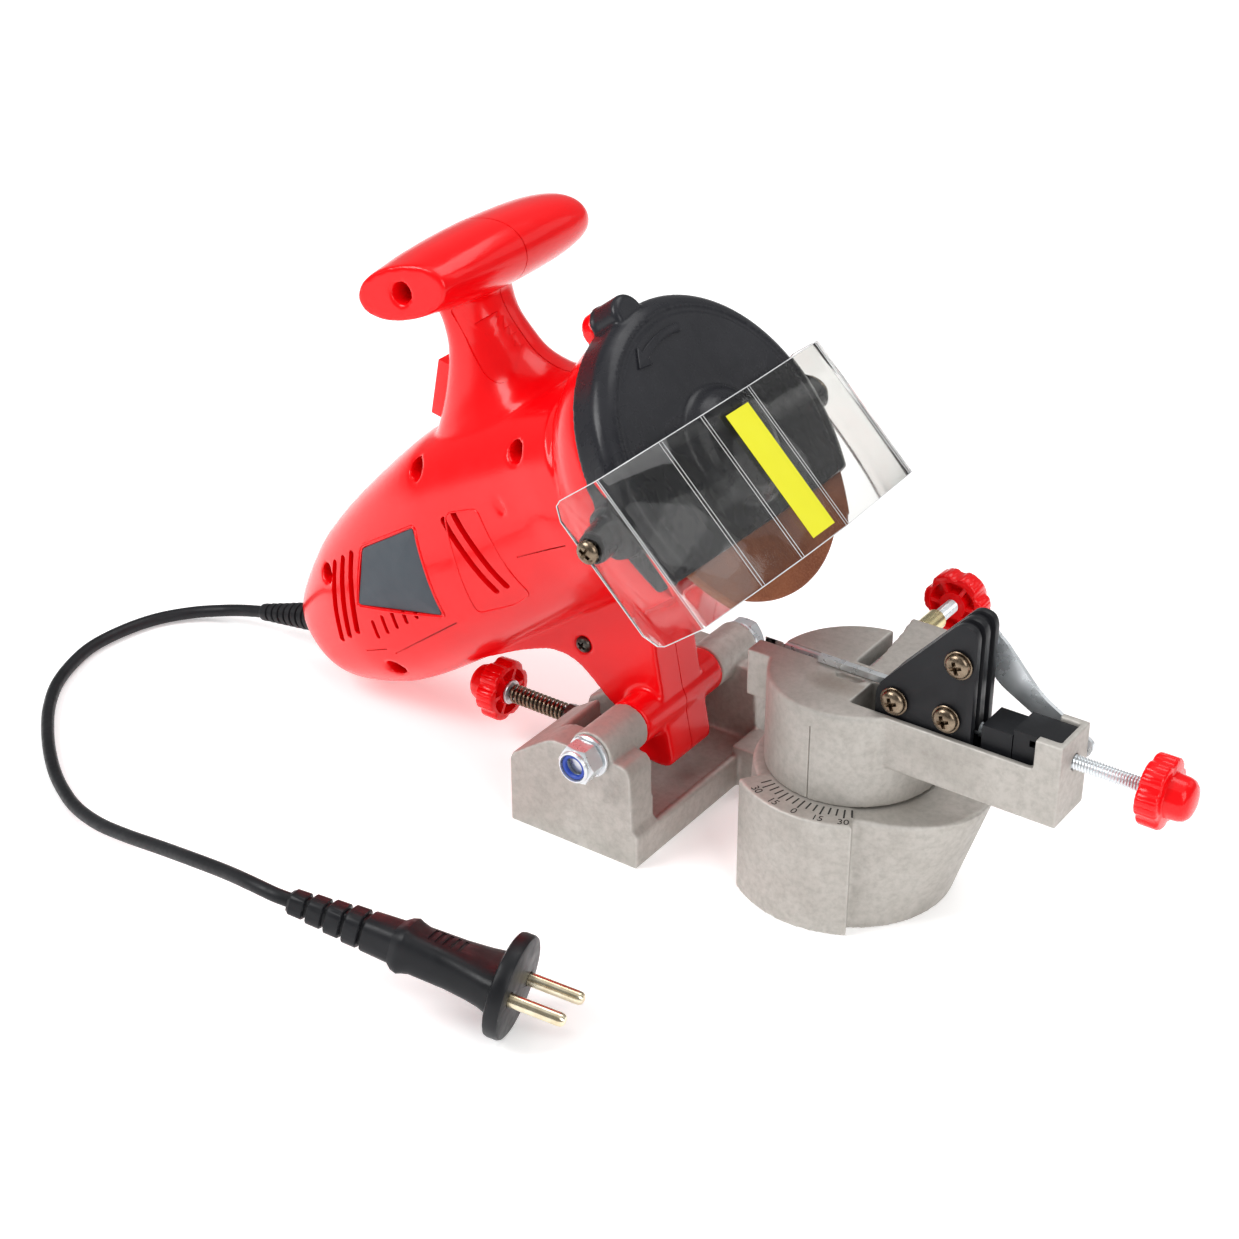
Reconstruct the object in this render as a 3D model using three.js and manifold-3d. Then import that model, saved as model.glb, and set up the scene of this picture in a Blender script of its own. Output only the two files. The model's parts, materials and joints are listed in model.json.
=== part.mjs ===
// Electric chainsaw sharpener: a tilting grinder head on a cast base with a swivelling chain vise.
// Millimetres, +Z up. Origin: centre of the base block's underside. +X points along the vise arm.
import * as THREE from 'three';
import { mergeVertices } from 'three/addons/utils/BufferGeometryUtils.js';
import Module from 'manifold-3d';

const wasm = await Module();
wasm.setup();

// General values
const turn = 2 * Math.PI;
const gap = 0.3;
const overrun = 2;
const fine = 24;
const round = 16;
const coarse = 8;
const hexagon = 6;

// Pivot, about which the whole head tilts
const pivot = {
  x: 7.9, z: 40.3, tilt: 38, boltRadius: 4, bossRadius: 8.6, bossInner: 23.8,
  headFlats: 13, headHeight: 5.3, washerRadius: 7.9, washerHeight: 1.6,
  nutHeight: 7, collarHeight: 1.6, collarRadius: 6, insertHeight: 0.9,
};

// Base casting
const block = {
  length: 93, depth: 54.8, height: 40, earThickness: 13.5, floor: 10, ledge: 14.7, ledgeWidth: 3,
  wallThickness: 12, slotWidth: 8.6, slotY: -4.2, boltHole: 4.3, boltHoleX: -3, boltHoleY: 18,
};
const blockShares = [
  [0.5, 0], [0.497, 0.32], [0.46, 0.368], [0.438, 0.925], [0.395, 0.993],
  [-0.16, 1], [-0.225, 0.955], [-0.485, 0.7], [-0.5, 0.62], [-0.5, 0],
];
const wallShares = [[-0.5, 0], [-0.5, 0.62], [-0.485, 0.7], [-0.29, 0.88], [-0.27, 0.84], [-0.27, 0]];
const webPlate = { near: 18, far: 34, height: 16 };

// Fixed vise drum, cast in one with the base
const drum = {
  x: 85.5, y: -1.5, height: 44, sectorRadius: 41.5, sectorFrom: -38, sectorTo: 29.5,
  footRadius: 37, neckRadius: 34, lobeReach: 17, lobeSharpness: 3, bodyHeight: 43.4,
  roofThickness: 9, wall: 5, boreRadius: 4.3, tickDepth: 0.5, tickWidth: 0.6, tickLength: 4.5,
  tickStep: 5, tickFrom: -35, tickTo: 35,
};

// Turntable with its arm
const table = {
  radius: 30.5, top: 78.7, slotWidth: 2, slotFrom: 47.7, slotTo: 71, slotDepth: 12, lugHalf: 5.5,
  lugY: -5.5, moonCutX: 82, moonCutFrom: 3.5, grooveFloor: 67,
  indexWidth: 0.7, indexDepth: 0.4, indexHeight: 28, edge: 1,
};
const arm = {
  end: 169.4, near: -22.5, far: -2.5, bottom: 60, wall: 2.4, channelFrom: 93.1, channelFloor: 65,
  postFrom: 160, postTop: 89.5, notchFloor: 72,
};
const lug = { near: -1.7, far: 39.6, bottom: 62 };
const lugShares = [[0.07, 0.218], [-0.079, 1], [0.377, 1], [0.449, 0.646], [0.308, 0]];

// Clamp screw and jaw plate
const clamp = {
  x: 86.8, z: 74.5, radius: 2.5, tipY: 2.9, jawThickness: 2, jawFrom: 56, jawTo: 94, jawHeight: 9,
  jawTravel: 1, sleeveFrom: 39.9, sleeveLength: 10.5, sleeveRadius: 3.7,
  knobY: 61.4,
};
const knob = {
  radius: 11.7, flange: 7.5, hubRadius: 7.5, hubHeight: 8, lobes: 6,
  recess: 3.5, rimWall: 2.6, coreRadius: 5, ribs: 5, ribThickness: 1.6, dip: 1.5, lobeSteps: 4,
};

// Chain stop carriage and its adjusting screw
const carriage = {
  near: -19.5, far: -5.2, plate: 2.5, left: 102, right: 136.6, top: 119.5, bottom: 66,
  tipRadius: 5.5, groove: 1.3, travelIn: 8, travelOut: 2,
};
const carriageShares = [[0, 0.2], [0, 0.41], [0.78, 0.985], [0.86, 1], [0.96, 0.985], [1, 0.93], [1, 0], [0.09, 0]];
const carriageScrews = [[0.835, 0.735], [0.205, 0.344], [0.75, 0.346]];
const stopScrew = { radius: 2, headRadius: 4.4, headHeight: 2.3, washerRadius: 4.9, washerHeight: 0.8 };
const pawl = { thickness: 2.5, from: 71.7, fingerHeight: 2.3, tabRadius: 4.6, lift: 0.3 };
const lever = { thickness: 1.5, hubRadius: 6, spacerRadius: 4, elbowX: 151.5, elbowZ: 88, endX: 171.3, endZ: 78.2, width: 8.5, tailWidth: 6 };
const guide = { from: 140, to: 158.5, near: -18.6, far: -5.6, top: 86, coverFrom: 151, coverTo: 167, coverHeight: 2.2 };
const adjust = { y: -11.5, z: 79.4, radius: 2.5, tipX: 124, knobX: 194, tipCollar: 3.4, tipCollarLength: 3 };

// Depth stop screw
const depth = {
  y: -4.2, z: 20.4, radius: 2, tipX: -7.2, knobX: -59.8, nutFlats: 8, nutFrom: -32.6, nutTo: -19,
  washerRadius: 4.6, washerHeight: 1,
};
const coil = { wire: 0.55, radius: 3.1, curls: 13, steps: 8, sides: 5 };

// Lock screw under the turntable
const lock = { radius: 4, knobTop: 34, head: 7.4, headHeight: 4, pocket: 9 };

// Grinder head, in its own axes: u along the motor, v across, w square to both. Its origin is the pivot.
const motor = { w: 68, shaftRadius: 4, coreRadius: 12.5, coreFrom: -46, coreTo: -4, airGap: 0.5 };
const barrel = { rear: -139, front: 46, height: 82, halfWidth: 38, exponent: 2.3, points: 20 };
barrel.reach = barrel.front - barrel.rear;
// Each row: place along the barrel, then top, bottom and half width, as shares
const barrelShares = [
  [0, 0.585, 0.49, 0.1], [0.008, 0.65, 0.43, 0.29], [0.034, 0.712, 0.3, 0.45], [0.076, 0.775, 0.19, 0.58],
  [0.18, 0.884, 0.094, 0.73], [0.26, 0.939, 0.058, 0.81], [0.38, 0.993, 0.04, 0.87], [0.554, 1.045, 0.03, 0.92],
  [0.65, 1.045, 0.024, 0.94], [0.76, 1.02, 0.018, 0.97], [0.865, 0.98, 0.012, 1.02], [0.94, 0.945, 0.012, 1.08],
  [1, 0.92, 0.03, 1.12],
];
const barrelBottom = 38;
const skirt = { front: 69.7, radius: 53.6, cutW: 40 };
const skirtShares = [[0, 0], [0, 0.5], [0.07, 0.6], [0.22, 0.76], [0.45, 0.89], [0.68, 0.97], [0.9, 1], [1, 1], [1, 0]];
const skirtLength = 36;
const neck = { from: 100, halfWidth: 24, exponent: 2.4, centreU: 14, halfReach: 40 };
// Each row: height share, rear and front places, and half width
const neckShares = [
  [0, -1.4, 0.82, 1.08], [0.2, -1.24, 0.68, 0.96], [0.3, -1.05, 0.51, 0.84], [0.42, -0.78, 0.39, 0.7],
  [0.56, -0.52, 0.35, 0.6], [0.68, -0.34, 0.34, 0.55], [0.8, -0.22, 0.38, 0.58], [0.92, -0.13, 0.45, 0.66], [1, 0, 0.5, 0.6],
];
const handle = {
  near: -43.5, far: 46, u: 30.5, w: 166, reach: 20, rise: 12.8, lean: 20, slant: 0.15, holeRadius: 3.6,
  holeDepth: 9, screwRadius: 1.8,
};
neck.to = handle.w;
// Each row: place along the handle, then its reach and rise
const handleShares = [
  [0, 0.8, 0.66], [0.012, 0.86, 0.72], [0.05, 0.92, 0.78], [0.2, 0.98, 0.9], [0.4, 1, 0.99], [0.6, 1, 0.99],
  [0.8, 0.96, 0.92], [0.92, 0.88, 0.8], [0.98, 0.76, 0.66], [1, 0.62, 0.5],
];
const leg = { halfWidth: 12.4, hubRadius: 8.7, frontU: 58, baseW: 41, heelW: 24, corner: 2 };
const legFrontShares = [[1, 0.99], [0.52, 0.8], [0.32, 0.475], [0.155, 0.02], [-0.057, -0.58]];
const legRearShares = [[-0.262, -0.355], [-0.18, -0.06], [-0.2, 0.1], [-0.245, 0.22], [-0.27, 0.42], [-0.31, 0.655], [-0.44, 0.84], [-0.7, 0.95], [-1.15, 1.06]];
const pocket = { halfWidth: 9, radius: 7.3 };
const tower = { radius: 4.6, holeRadius: 3.5, depth: 22 };
// Screw places in u and w, and how deep below the mid-plane's side the head sits
const towerPlaces = [[29, 102], [-26, 114], [-95, 98], [-91, 55], [-11, 31]];
const towerMouths = [44, 30, 34, 34, 14];
const label = { from: -83, to: -31, bottom: 63, top: 102, depth: 0.8, thickness: 0.7, side: 35.4, lean: 4, border: 1.4, seat: 9 };
const labelShares = [[0.02, 0.5], [0.33, 0.95], [0.96, 0.88], [0.74, 0.04], [0.7, 0.02], [0.04, 0.46]];
const slot = { width: 3, depth: 14, rearCount: 3, rearPitch: 6.5, frontCount: 2, frontPitch: 6, smallCount: 2, smallPitch: 7.5 };
const ventRear = { u: -83, w: 87, length: 34, lean: 35 };
const ventFront = { u: -14, w: 76, length: 34, lean: -9 };
const ventSmall = { u: -100, w: 52, length: 9, lean: 30 };
const switchPlate = { u: -13.6, along: 0.523, length: 22, width: 13, thickness: 2.4, lean: 41 };
switchPlate.w = neck.from + (neck.to - neck.from) * switchPlate.along;
// The rocker turns about its own axis across the plate, and rests half its throw to one side
const rocker = { radius: 4.7, sink: 1, hollow: 1, face: 27, throw: 20, width: 6.5, arcSteps: 12 };

// Wheel guard, shield, wheel and its mount
const guard = {
  back: 70, front: 85, radius: 56, wall: 2, edge: 6, mouthW: 42.5, domeRadius: 21, domeHeight: 8.3,
  lugRadius: 5.6, lugSet: 1.5, lugW: 64, topLugV: -8, topLugInset: 1.5, topLugRadius: 7, earThickness: 5,
};
guard.lugU = guard.back + guard.lugSet;
guard.topLugW = motor.w + guard.radius - guard.topLugInset;
// The shield's sides stand clear of the guard, held off by the guard's lugs
const shield = { thickness: 2, stand: 14, top: 82.5, bottom: 26.5, lean: 7.6, holeRadius: 2.6 };
shield.side = guard.radius + shield.stand;
guard.lugReach = shield.side - shield.thickness - gap;
// Plan of the front sheet: place across, then reach forward
const shieldPlan = { across: shield.side, forward: 95 };
const shieldPlanShares = [[-1, 0.7], [-1, 0.945], [-0.57, 0.985], [-0.257, 1], [0.143, 1], [0.93, 0.905], [1, 0.88], [1, 0.7]];
const shieldScrew = { radius: 2, headRadius: 4.2, headHeight: 2.4, length: 9 };
const wheel = { radius: 52.5, thickness: 3.2, bore: 11.1, u: 80, flangeRadius: 16, flangeThickness: 3.5, spindleRadius: 4, nutFlats: 13, nutHeight: 5 };
const stator = { radius: 22, from: -46, to: -4, coilReach: 9, tooth: 9 };
const bearing = { radius: 11, width: 7, rearU: -100, frontU: 44 };
const commutator = { radius: 8, from: -74, to: -60 };
const brush = { width: 8, height: 6, length: 13 };
const spring = { wire: 0.8, radius: 5.6, curls: 7 };

// Cord and plug
const cord = { radius: 2.5, sides: 8, steps: 48 };
const relief = { rootU: -135.5, rootW: 80.5, length: 40, rootRadius: 6.5, tipRadius: 3.4, rings: 5 };
const cordRoute = [
  [-187.57, 0, 10.49], [-192.47, 0, 9.29], [-200, -0.3, 7.3], [-208.8, -1.9, 5.1], [-219.6, -7.8, 3.4],
  [-228.7, -18.6, 2.6], [-233.2, -32.4, 2.6], [-234.6, -49.2, 2.6], [-231.1, -64.3, 2.6], [-224.6, -78.7, 2.6],
  [-215, -91.7, 2.6], [-204.4, -102.6, 2.6], [-192.6, -112.9, 2.6], [-180, -122.2, 2.6], [-167.5, -129.6, 3.2],
  [-153.6, -136.3, 4.8], [-136.8, -141.7, 7.8], [-118.4, -145.8, 12.4], [-98.5, -149.8, 18.1], [-78.5, -154, 23.8],
  [-59.4, -157.6, 28.6], [-44.5, -160.7, 31.9], [-34.5, -161, 32.05], [-29.15, -159.62, 31.13],
];
const plug = {
  x: -28.86, y: -159.54, z: 31.08, yaw: 14.7, pitch: -10, roll: -17, reliefLength: 30, reliefRadius: 3.3, neckRadius: 5.6,
  bodyRadius: 8.4, bodyLength: 50, flangeRadius: 17.4, flangeThickness: 5.5, pinRadius: 2.3, pinLength: 19, pinPitch: 19,
  ribStep: 4.3, seat: 12,
};
// Each rib: place along the neck, then its swell
const plugRibShares = [[0.143, 0.33], [0.429, 0.67], [0.714, 1]];

// Materials
const look = (color, roughness, metalness, extra = {}) =>
  new THREE.MeshStandardMaterial({ color, roughness, metalness, ...extra });
const looks = {
  cast: () => look(0xa8a29b, 0.62, 0.55),
  red: () => look(0xe3141b, 0.24, 0),
  charcoal: () => look(0x2c2c31, 0.42, 0),
  black: () => look(0x18181b, 0.5, 0),
  clear: () => look(0xeef2f2, 0.08, 0, { transparent: true, opacity: 0.35 }),
  zinc: () => look(0xc4cbd0, 0.32, 0.9),
  yellowZinc: () => look(0xc8b878, 0.35, 0.85),
  bronze: () => look(0x5a4a3a, 0.35, 0.9),
  oxide: () => look(0x3a3634, 0.45, 0.85),
  steel: () => look(0xb9bcc0, 0.3, 0.95),
  copper: () => look(0xb0673a, 0.35, 0.9),
  carbon: () => look(0x303030, 0.7, 0.1),
  abrasive: () => look(0x8a3f26, 0.95, 0),
  nylon: () => look(0x1f57c8, 0.4, 0),
  slate: () => look(0x474f57, 0.3, 0),
  nickel: () => look(0xcdbf9c, 0.28, 0.95),
};

// Joins and cuts of closed bodies
function toSolid(geometry) {
  const bare = geometry.clone();
  bare.deleteAttribute('normal');
  bare.deleteAttribute('uv');
  const welded = mergeVertices(bare);
  const vertProperties = new Float32Array(welded.attributes.position.array);
  const triVerts = new Uint32Array(welded.index.array);
  return new wasm.Manifold(new wasm.Mesh({ numProp: 3, vertProperties, triVerts }));
}

function toGeometry(solid) {
  const mesh = solid.getMesh();
  const geometry = new THREE.BufferGeometry();
  geometry.setAttribute('position', new THREE.BufferAttribute(new Float32Array(mesh.vertProperties), 3));
  geometry.setIndex(new THREE.BufferAttribute(new Uint32Array(mesh.triVerts), 1));
  return geometry;
}

const combine = (method) => (first, ...others) =>
  toGeometry(others.map(toSolid).reduce((body, other) => body[method](other), toSolid(first)));
const join = combine('add');
const cut = combine('subtract');
const common = combine('intersect');

// Basic bodies between named places
function box(x0, x1, y0, y1, z0, z1) {
  return new THREE.BoxGeometry(x1 - x0, y1 - y0, z1 - z0)
    .translate((x0 + x1) / 2, (y0 + y1) / 2, (z0 + z1) / 2);
}

// Turns a profile of [radius, place] pairs about Z
function turned(profile, segments = round) {
  return new THREE.LatheGeometry(profile.map(([r, h]) => new THREE.Vector2(r, h)), segments)
    .rotateX(Math.PI / 2);
}

function rodZ(z0, z1, radius, x, y, segments = round) {
  return turned([[0, z0], [radius, z0], [radius, z1], [0, z1]], segments).translate(x, y, 0);
}

function rodX(x0, x1, radius, y, z, segments = round) {
  return turned([[0, x0], [radius, x0], [radius, x1], [0, x1]], segments)
    .rotateY(Math.PI / 2).translate(0, y, z);
}

function rodY(y0, y1, radius, x, z, segments = round) {
  return turned([[0, y0], [radius, y0], [radius, y1], [0, y1]], segments)
    .rotateX(-Math.PI / 2).translate(x, 0, z);
}

// A turned body, its profile of [radius, place] pairs laid along X or Y
const turnedX = (profile, y, z, segments = round) =>
  turned(profile, segments).rotateY(Math.PI / 2).translate(0, y, z);
const turnedY = (profile, x, z, segments = round) =>
  turned(profile, segments).rotateX(-Math.PI / 2).translate(x, 0, z);

function ringProfile(inner, outer, from, to) {
  return [[inner, from], [outer, from], [outer, to], [inner, to], [inner, from]];
}

const flatShape = (points) => new THREE.Shape(points.map(([a, b]) => new THREE.Vector2(a, b)));
const slab = (shape, thickness, curveSegments = coarse) =>
  new THREE.ExtrudeGeometry(shape, { depth: thickness, bevelEnabled: false, curveSegments });
const alongX = new THREE.Matrix4().makeBasis(
  new THREE.Vector3(0, 1, 0), new THREE.Vector3(0, 0, 1), new THREE.Vector3(1, 0, 0));

const prismX = (shape, x0, x1) => slab(shape, x1 - x0).applyMatrix4(alongX).translate(x0, 0, 0);
const prismY = (shape, y0, y1) => slab(shape, y1 - y0).rotateX(Math.PI / 2).translate(0, y1, 0);
const prismZ = (shape, z0, z1) => slab(shape, z1 - z0).translate(0, 0, z0);

// Shares of two sizes turned into places
const scaled = (shares, width, height, x = 0, y = 0) =>
  shares.map(([a, b]) => [x + a * width, y + b * height]);

// Signed volume of a triangle list: negative where its faces point inwards
function signedVolume(points, index) {
  let sum = 0;
  for (let i = 0; i < index.length; i += 3) {
    const [a, b, c] = [0, 1, 2].map((k) => new THREE.Vector3(...points[index[i + k]]));
    sum += a.dot(b.cross(c));
  }
  return sum;
}

// Joins closed rings of equal point counts into one capped body
function loft(rings) {
  const count = rings[0].length;
  const points = rings.flat();
  const index = [];
  for (let ring = 0; ring + 1 < rings.length; ring += 1) {
    for (let i = 0; i < count; i += 1) {
      const a = ring * count + i;
      const b = ring * count + ((i + 1) % count);
      index.push(a, b, b + count, a, b + count, a + count);
    }
  }
  const capAt = (start, flip) => {
    for (let i = 1; i + 1 < count; i += 1) {
      index.push(start, flip ? start + i : start + i + 1, flip ? start + i + 1 : start + i);
    }
  };
  capAt(0, false);
  capAt((rings.length - 1) * count, true);
  if (signedVolume(points, index) < 0) index.reverse();
  const geometry = new THREE.BufferGeometry();
  geometry.setAttribute('position', new THREE.Float32BufferAttribute(points.flat(), 3));
  geometry.setIndex(index);
  return geometry;
}

// One ring of a rounded-square section; place() maps the section's two shares to a point
function superRing(count, exponent, place) {
  return Array.from({ length: count }, (unused, i) => {
    const angle = (i * turn) / count;
    const c = Math.cos(angle);
    const s = Math.sin(angle);
    const power = 2 / exponent;
    return place(Math.sign(c) * Math.abs(c) ** power, Math.sign(s) * Math.abs(s) ** power);
  });
}

// Corner radius of a hexagon nut or head from its width across flats
const hexRadius = (flats) => flats / 2 / Math.cos(Math.PI / hexagon);

// A coil of wire along X, one unbroken tube; the tube's own rings are laid out by formula
function coilSpring(from, to, { wire, radius, curls, steps = coil.steps, sides = coil.sides }) {
  const count = curls * steps;
  const pitch = (to - from) / curls;
  const rings = Array.from({ length: count + 1 }, (unused, i) => {
    const angle = (i * turn) / steps;
    const x = from + (i * (to - from)) / count;
    const slope = Math.atan2(pitch, turn * radius);
    return Array.from({ length: sides }, (none, j) => {
      const around = (j * turn) / sides;
      const out = radius + wire * Math.cos(around);
      const along = wire * Math.sin(around);
      const side = -along * Math.sin(slope);
      return [
        x + along * Math.cos(slope),
        out * Math.cos(angle) - side * Math.sin(angle),
        out * Math.sin(angle) + side * Math.cos(angle),
      ];
    });
  });
  return loft(rings);
}

// The least gap between turns that are not neighbours along the wire
function leastCoilGap(from, to, { wire, radius, curls, steps = coil.steps }) {
  const count = curls * steps;
  const centre = (i) => new THREE.Vector3(
    from + (i * (to - from)) / count,
    radius * Math.cos((i * turn) / steps), radius * Math.sin((i * turn) / steps));
  let least = Infinity;
  for (let i = 0; i <= count; i += 1) {
    for (let j = i + steps / 2; j <= count; j += 1) {
      least = Math.min(least, centre(i).distanceTo(centre(j)));
    }
  }
  return least - 2 * wire;
}

const model = new THREE.Group();

function add(group, name, geometry, material) {
  const plain = geometry.clone();
  plain.deleteAttribute('normal');
  plain.deleteAttribute('uv');
  const welded = mergeVertices(plain);
  welded.computeVertexNormals();
  const mesh = new THREE.Mesh(welded, material);
  mesh.name = name;
  group.add(mesh);
  return mesh;
}

// The lobed hand knob, its hub towards +X and its open side at x = 0
function knobBody(bore) {
  const { radius, flange, hubRadius, hubHeight, lobes, lobeSteps, dip, rimWall, recess } = knob;
  const soft = rimWall / 3;
  const lobeRing = (x, inset) => Array.from({ length: lobes * lobeSteps }, (unused, i) => {
    const angle = (i * turn) / (lobes * lobeSteps);
    const reach = radius - inset - dip * Math.abs(Math.sin((lobes * angle) / 2)) ** 3;
    return [x, reach * Math.cos(angle), reach * Math.sin(angle)];
  });
  const rim = loft([lobeRing(0, soft), lobeRing(soft, 0), lobeRing(flange - soft, 0), lobeRing(flange, soft)]);
  const dome = turnedX([
    [0, flange - soft], [hubRadius, flange - soft], [hubRadius, flange + hubHeight * 0.2],
    [hubRadius * 0.95, flange + hubHeight * 0.55], [hubRadius * 0.78, flange + hubHeight * 0.85],
    [hubRadius * 0.45, flange + hubHeight], [0, flange + hubHeight],
  ], 0, 0, round);
  const hollow = turnedX(ringProfile(knob.coreRadius, radius - dip - rimWall, -overrun, recess), 0, 0, round);
  const ribs = Array.from({ length: knob.ribs }, (unused, i) =>
    box(0, recess, 0, radius - dip - rimWall / 2, -knob.ribThickness / 2, knob.ribThickness / 2)
      .rotateX((i * turn) / knob.ribs));
  const hole = rodX(-overrun, flange + gap, bore + gap, 0, 0, coarse);
  return cut(join(cut(join(rim, dome), hollow), ...ribs), hole);
}

// Base block, web and fixed drum in one casting
function baseCasting() {
  const half = block.length / 2;
  const inner = half - block.earThickness;
  const profile = flatShape(scaled(blockShares, block.depth, block.height));
  const ear = (y0, y1) => prismY(profile, y0, y1);
  const boss = (y0, y1) => rodY(y0, y1, pivot.bossRadius, pivot.x, pivot.z);
  const rightFace = block.depth / 2;
  const floor = box(-rightFace, rightFace, -half, half, 0, block.floor);
  const ledge = box(rightFace - block.ledgeWidth, rightFace, -half, half, 0, block.ledge - overrun);
  const wall = prismY(flatShape(scaled(wallShares, block.depth, block.height)), -half, half);
  const web = box(0, drum.x - drum.footRadius / 4, webPlate.near, webPlate.far, 0, webPlate.height);
  const webClear = box(-rightFace + block.wallThickness, rightFace - block.ledgeWidth, -inner, inner,
    block.floor, webPlate.height + overrun);
  const cast = join(
    cut(join(floor, wall, web, ledge), webClear),
    ear(-half, -inner), ear(inner, half),
    boss(-half, -pivot.bossInner), boss(pivot.bossInner, half),
    drumBody());
  const slotTop = block.height + overrun;
  const slotHole = box(-rightFace - overrun, -rightFace + block.wallThickness + overrun * 2,
    block.slotY - block.slotWidth / 2, block.slotY + block.slotWidth / 2,
    depth.z - hexRadius(depth.nutFlats) - gap, slotTop);
  const boltHoles = [-1, 1].map((side) =>
    rodZ(-overrun, block.floor + overrun, block.boltHole, block.boltHoleX, side * block.boltHoleY));
  const bore = rodY(-half - overrun, half + overrun, pivot.boltRadius + gap, pivot.x, pivot.z);
  return cut(cast, slotHole, bore, ...boltHoles, ...drumHollows(), ...drumTicks());
}

// Angle convention of the vise: 0 faces -Y, positive turns towards +X
const viseAngle = (degrees) => THREE.MathUtils.degToRad(degrees) - Math.PI / 2;

function sectorShape(radius, from, to, steps) {
  const points = [[drum.x, drum.y]];
  for (let i = 0; i <= steps; i += 1) {
    const angle = viseAngle(from + ((to - from) * i) / steps);
    points.push([drum.x + radius * Math.cos(angle), drum.y + radius * Math.sin(angle)]);
  }
  return flatShape(points);
}

function drumBody() {
  const scale = prismZ(sectorShape(drum.sectorRadius, drum.sectorFrom, drum.sectorTo, coarse), 0, drum.height);
  const levels = [0, 0.25, 0.5, 0.75, 1];
  const bowl = loft(levels.map((share) => Array.from({ length: fine }, (unused, i) => {
    const angle = (i * turn) / fine;
    const lobe = drum.lobeReach * Math.max(0, Math.cos(angle)) ** drum.lobeSharpness;
    const top = drum.neckRadius + lobe;
    const reach = drum.footRadius + (top - drum.footRadius) * share;
    return [drum.x + reach * Math.cos(angle), drum.y + reach * Math.sin(angle), drum.bodyHeight * share];
  })));
  return join(bowl, scale);
}

function drumHollows() {
  const roof = drum.bodyHeight - drum.roofThickness;
  return [
    rodZ(-overrun, roof, drum.footRadius - drum.wall * 2, drum.x, drum.y, fine),
    rodZ(roof - overrun, drum.height + overrun, drum.boreRadius, drum.x, drum.y),
  ];
}

function drumTicks() {
  const ticks = [];
  for (let mark = drum.tickFrom; mark <= drum.tickTo; mark += drum.tickStep) {
    const angle = viseAngle(mark * (drum.sectorTo / drum.tickTo));
    const outer = drum.sectorRadius - gap;
    ticks.push(box(outer - drum.tickLength, outer, -drum.tickWidth / 2, drum.tickWidth / 2,
      drum.height - drum.tickDepth, drum.height + overrun)
      .rotateZ(angle).translate(drum.x, drum.y, 0));
  }
  return ticks;
}

add(model, 'base_casting', baseCasting(), looks.cast());

// Pivot bolt with its two washers and locking nut
function pivotFasteners() {
  const half = block.length / 2;
  const nearWasher = -half - gap - pivot.washerHeight;
  const farWasher = half + gap;
  const nutFace = nearWasher - gap;
  const nutEnd = nutFace - pivot.nutHeight;
  const tip = nutEnd + pivot.nutHeight * 0.25;
  const washer = (from) => turnedY(ringProfile(pivot.boltRadius + gap, pivot.washerRadius, from, from + pivot.washerHeight), pivot.x, pivot.z);
  const headFace = farWasher + pivot.washerHeight + gap;
  add(model, 'pivot_washer_near', washer(nearWasher), looks.zinc());
  add(model, 'pivot_washer_far', washer(farWasher), looks.zinc());
  const head = rodY(headFace, headFace + pivot.headHeight, hexRadius(pivot.headFlats), pivot.x, pivot.z, hexagon);
  add(model, 'pivot_bolt', join(rodY(tip, headFace + overrun, pivot.boltRadius, pivot.x, pivot.z), head), looks.zinc());
  const hex = rodY(nutEnd, nutFace, hexRadius(pivot.headFlats), pivot.x, pivot.z, hexagon);
  const collar = turnedY([
    [0, nutEnd - pivot.collarHeight], [pivot.collarRadius - gap * 2, nutEnd - pivot.collarHeight],
    [pivot.collarRadius, nutEnd - pivot.collarHeight + gap * 2], [pivot.collarRadius, nutEnd + overrun], [0, nutEnd + overrun],
  ], pivot.x, pivot.z);
  const bore = rodY(nutEnd - pivot.collarHeight - overrun, nutFace + overrun, pivot.boltRadius + gap, pivot.x, pivot.z);
  const seatHeight = pivot.collarHeight + pivot.insertHeight;
  const insertSeat = rodY(nutEnd - pivot.collarHeight - overrun, nutEnd - pivot.collarHeight + seatHeight,
    pivot.collarRadius - gap * 3, pivot.x, pivot.z);
  add(model, 'pivot_nut', cut(join(hex, collar), bore, insertSeat), looks.zinc());
  add(model, 'nut_insert', turnedY(ringProfile(pivot.boltRadius * 0.82, pivot.collarRadius - gap * 4,
    nutEnd - pivot.collarHeight + pivot.insertHeight, nutEnd - gap), pivot.x, pivot.z), looks.nylon());
}
pivotFasteners();

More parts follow.
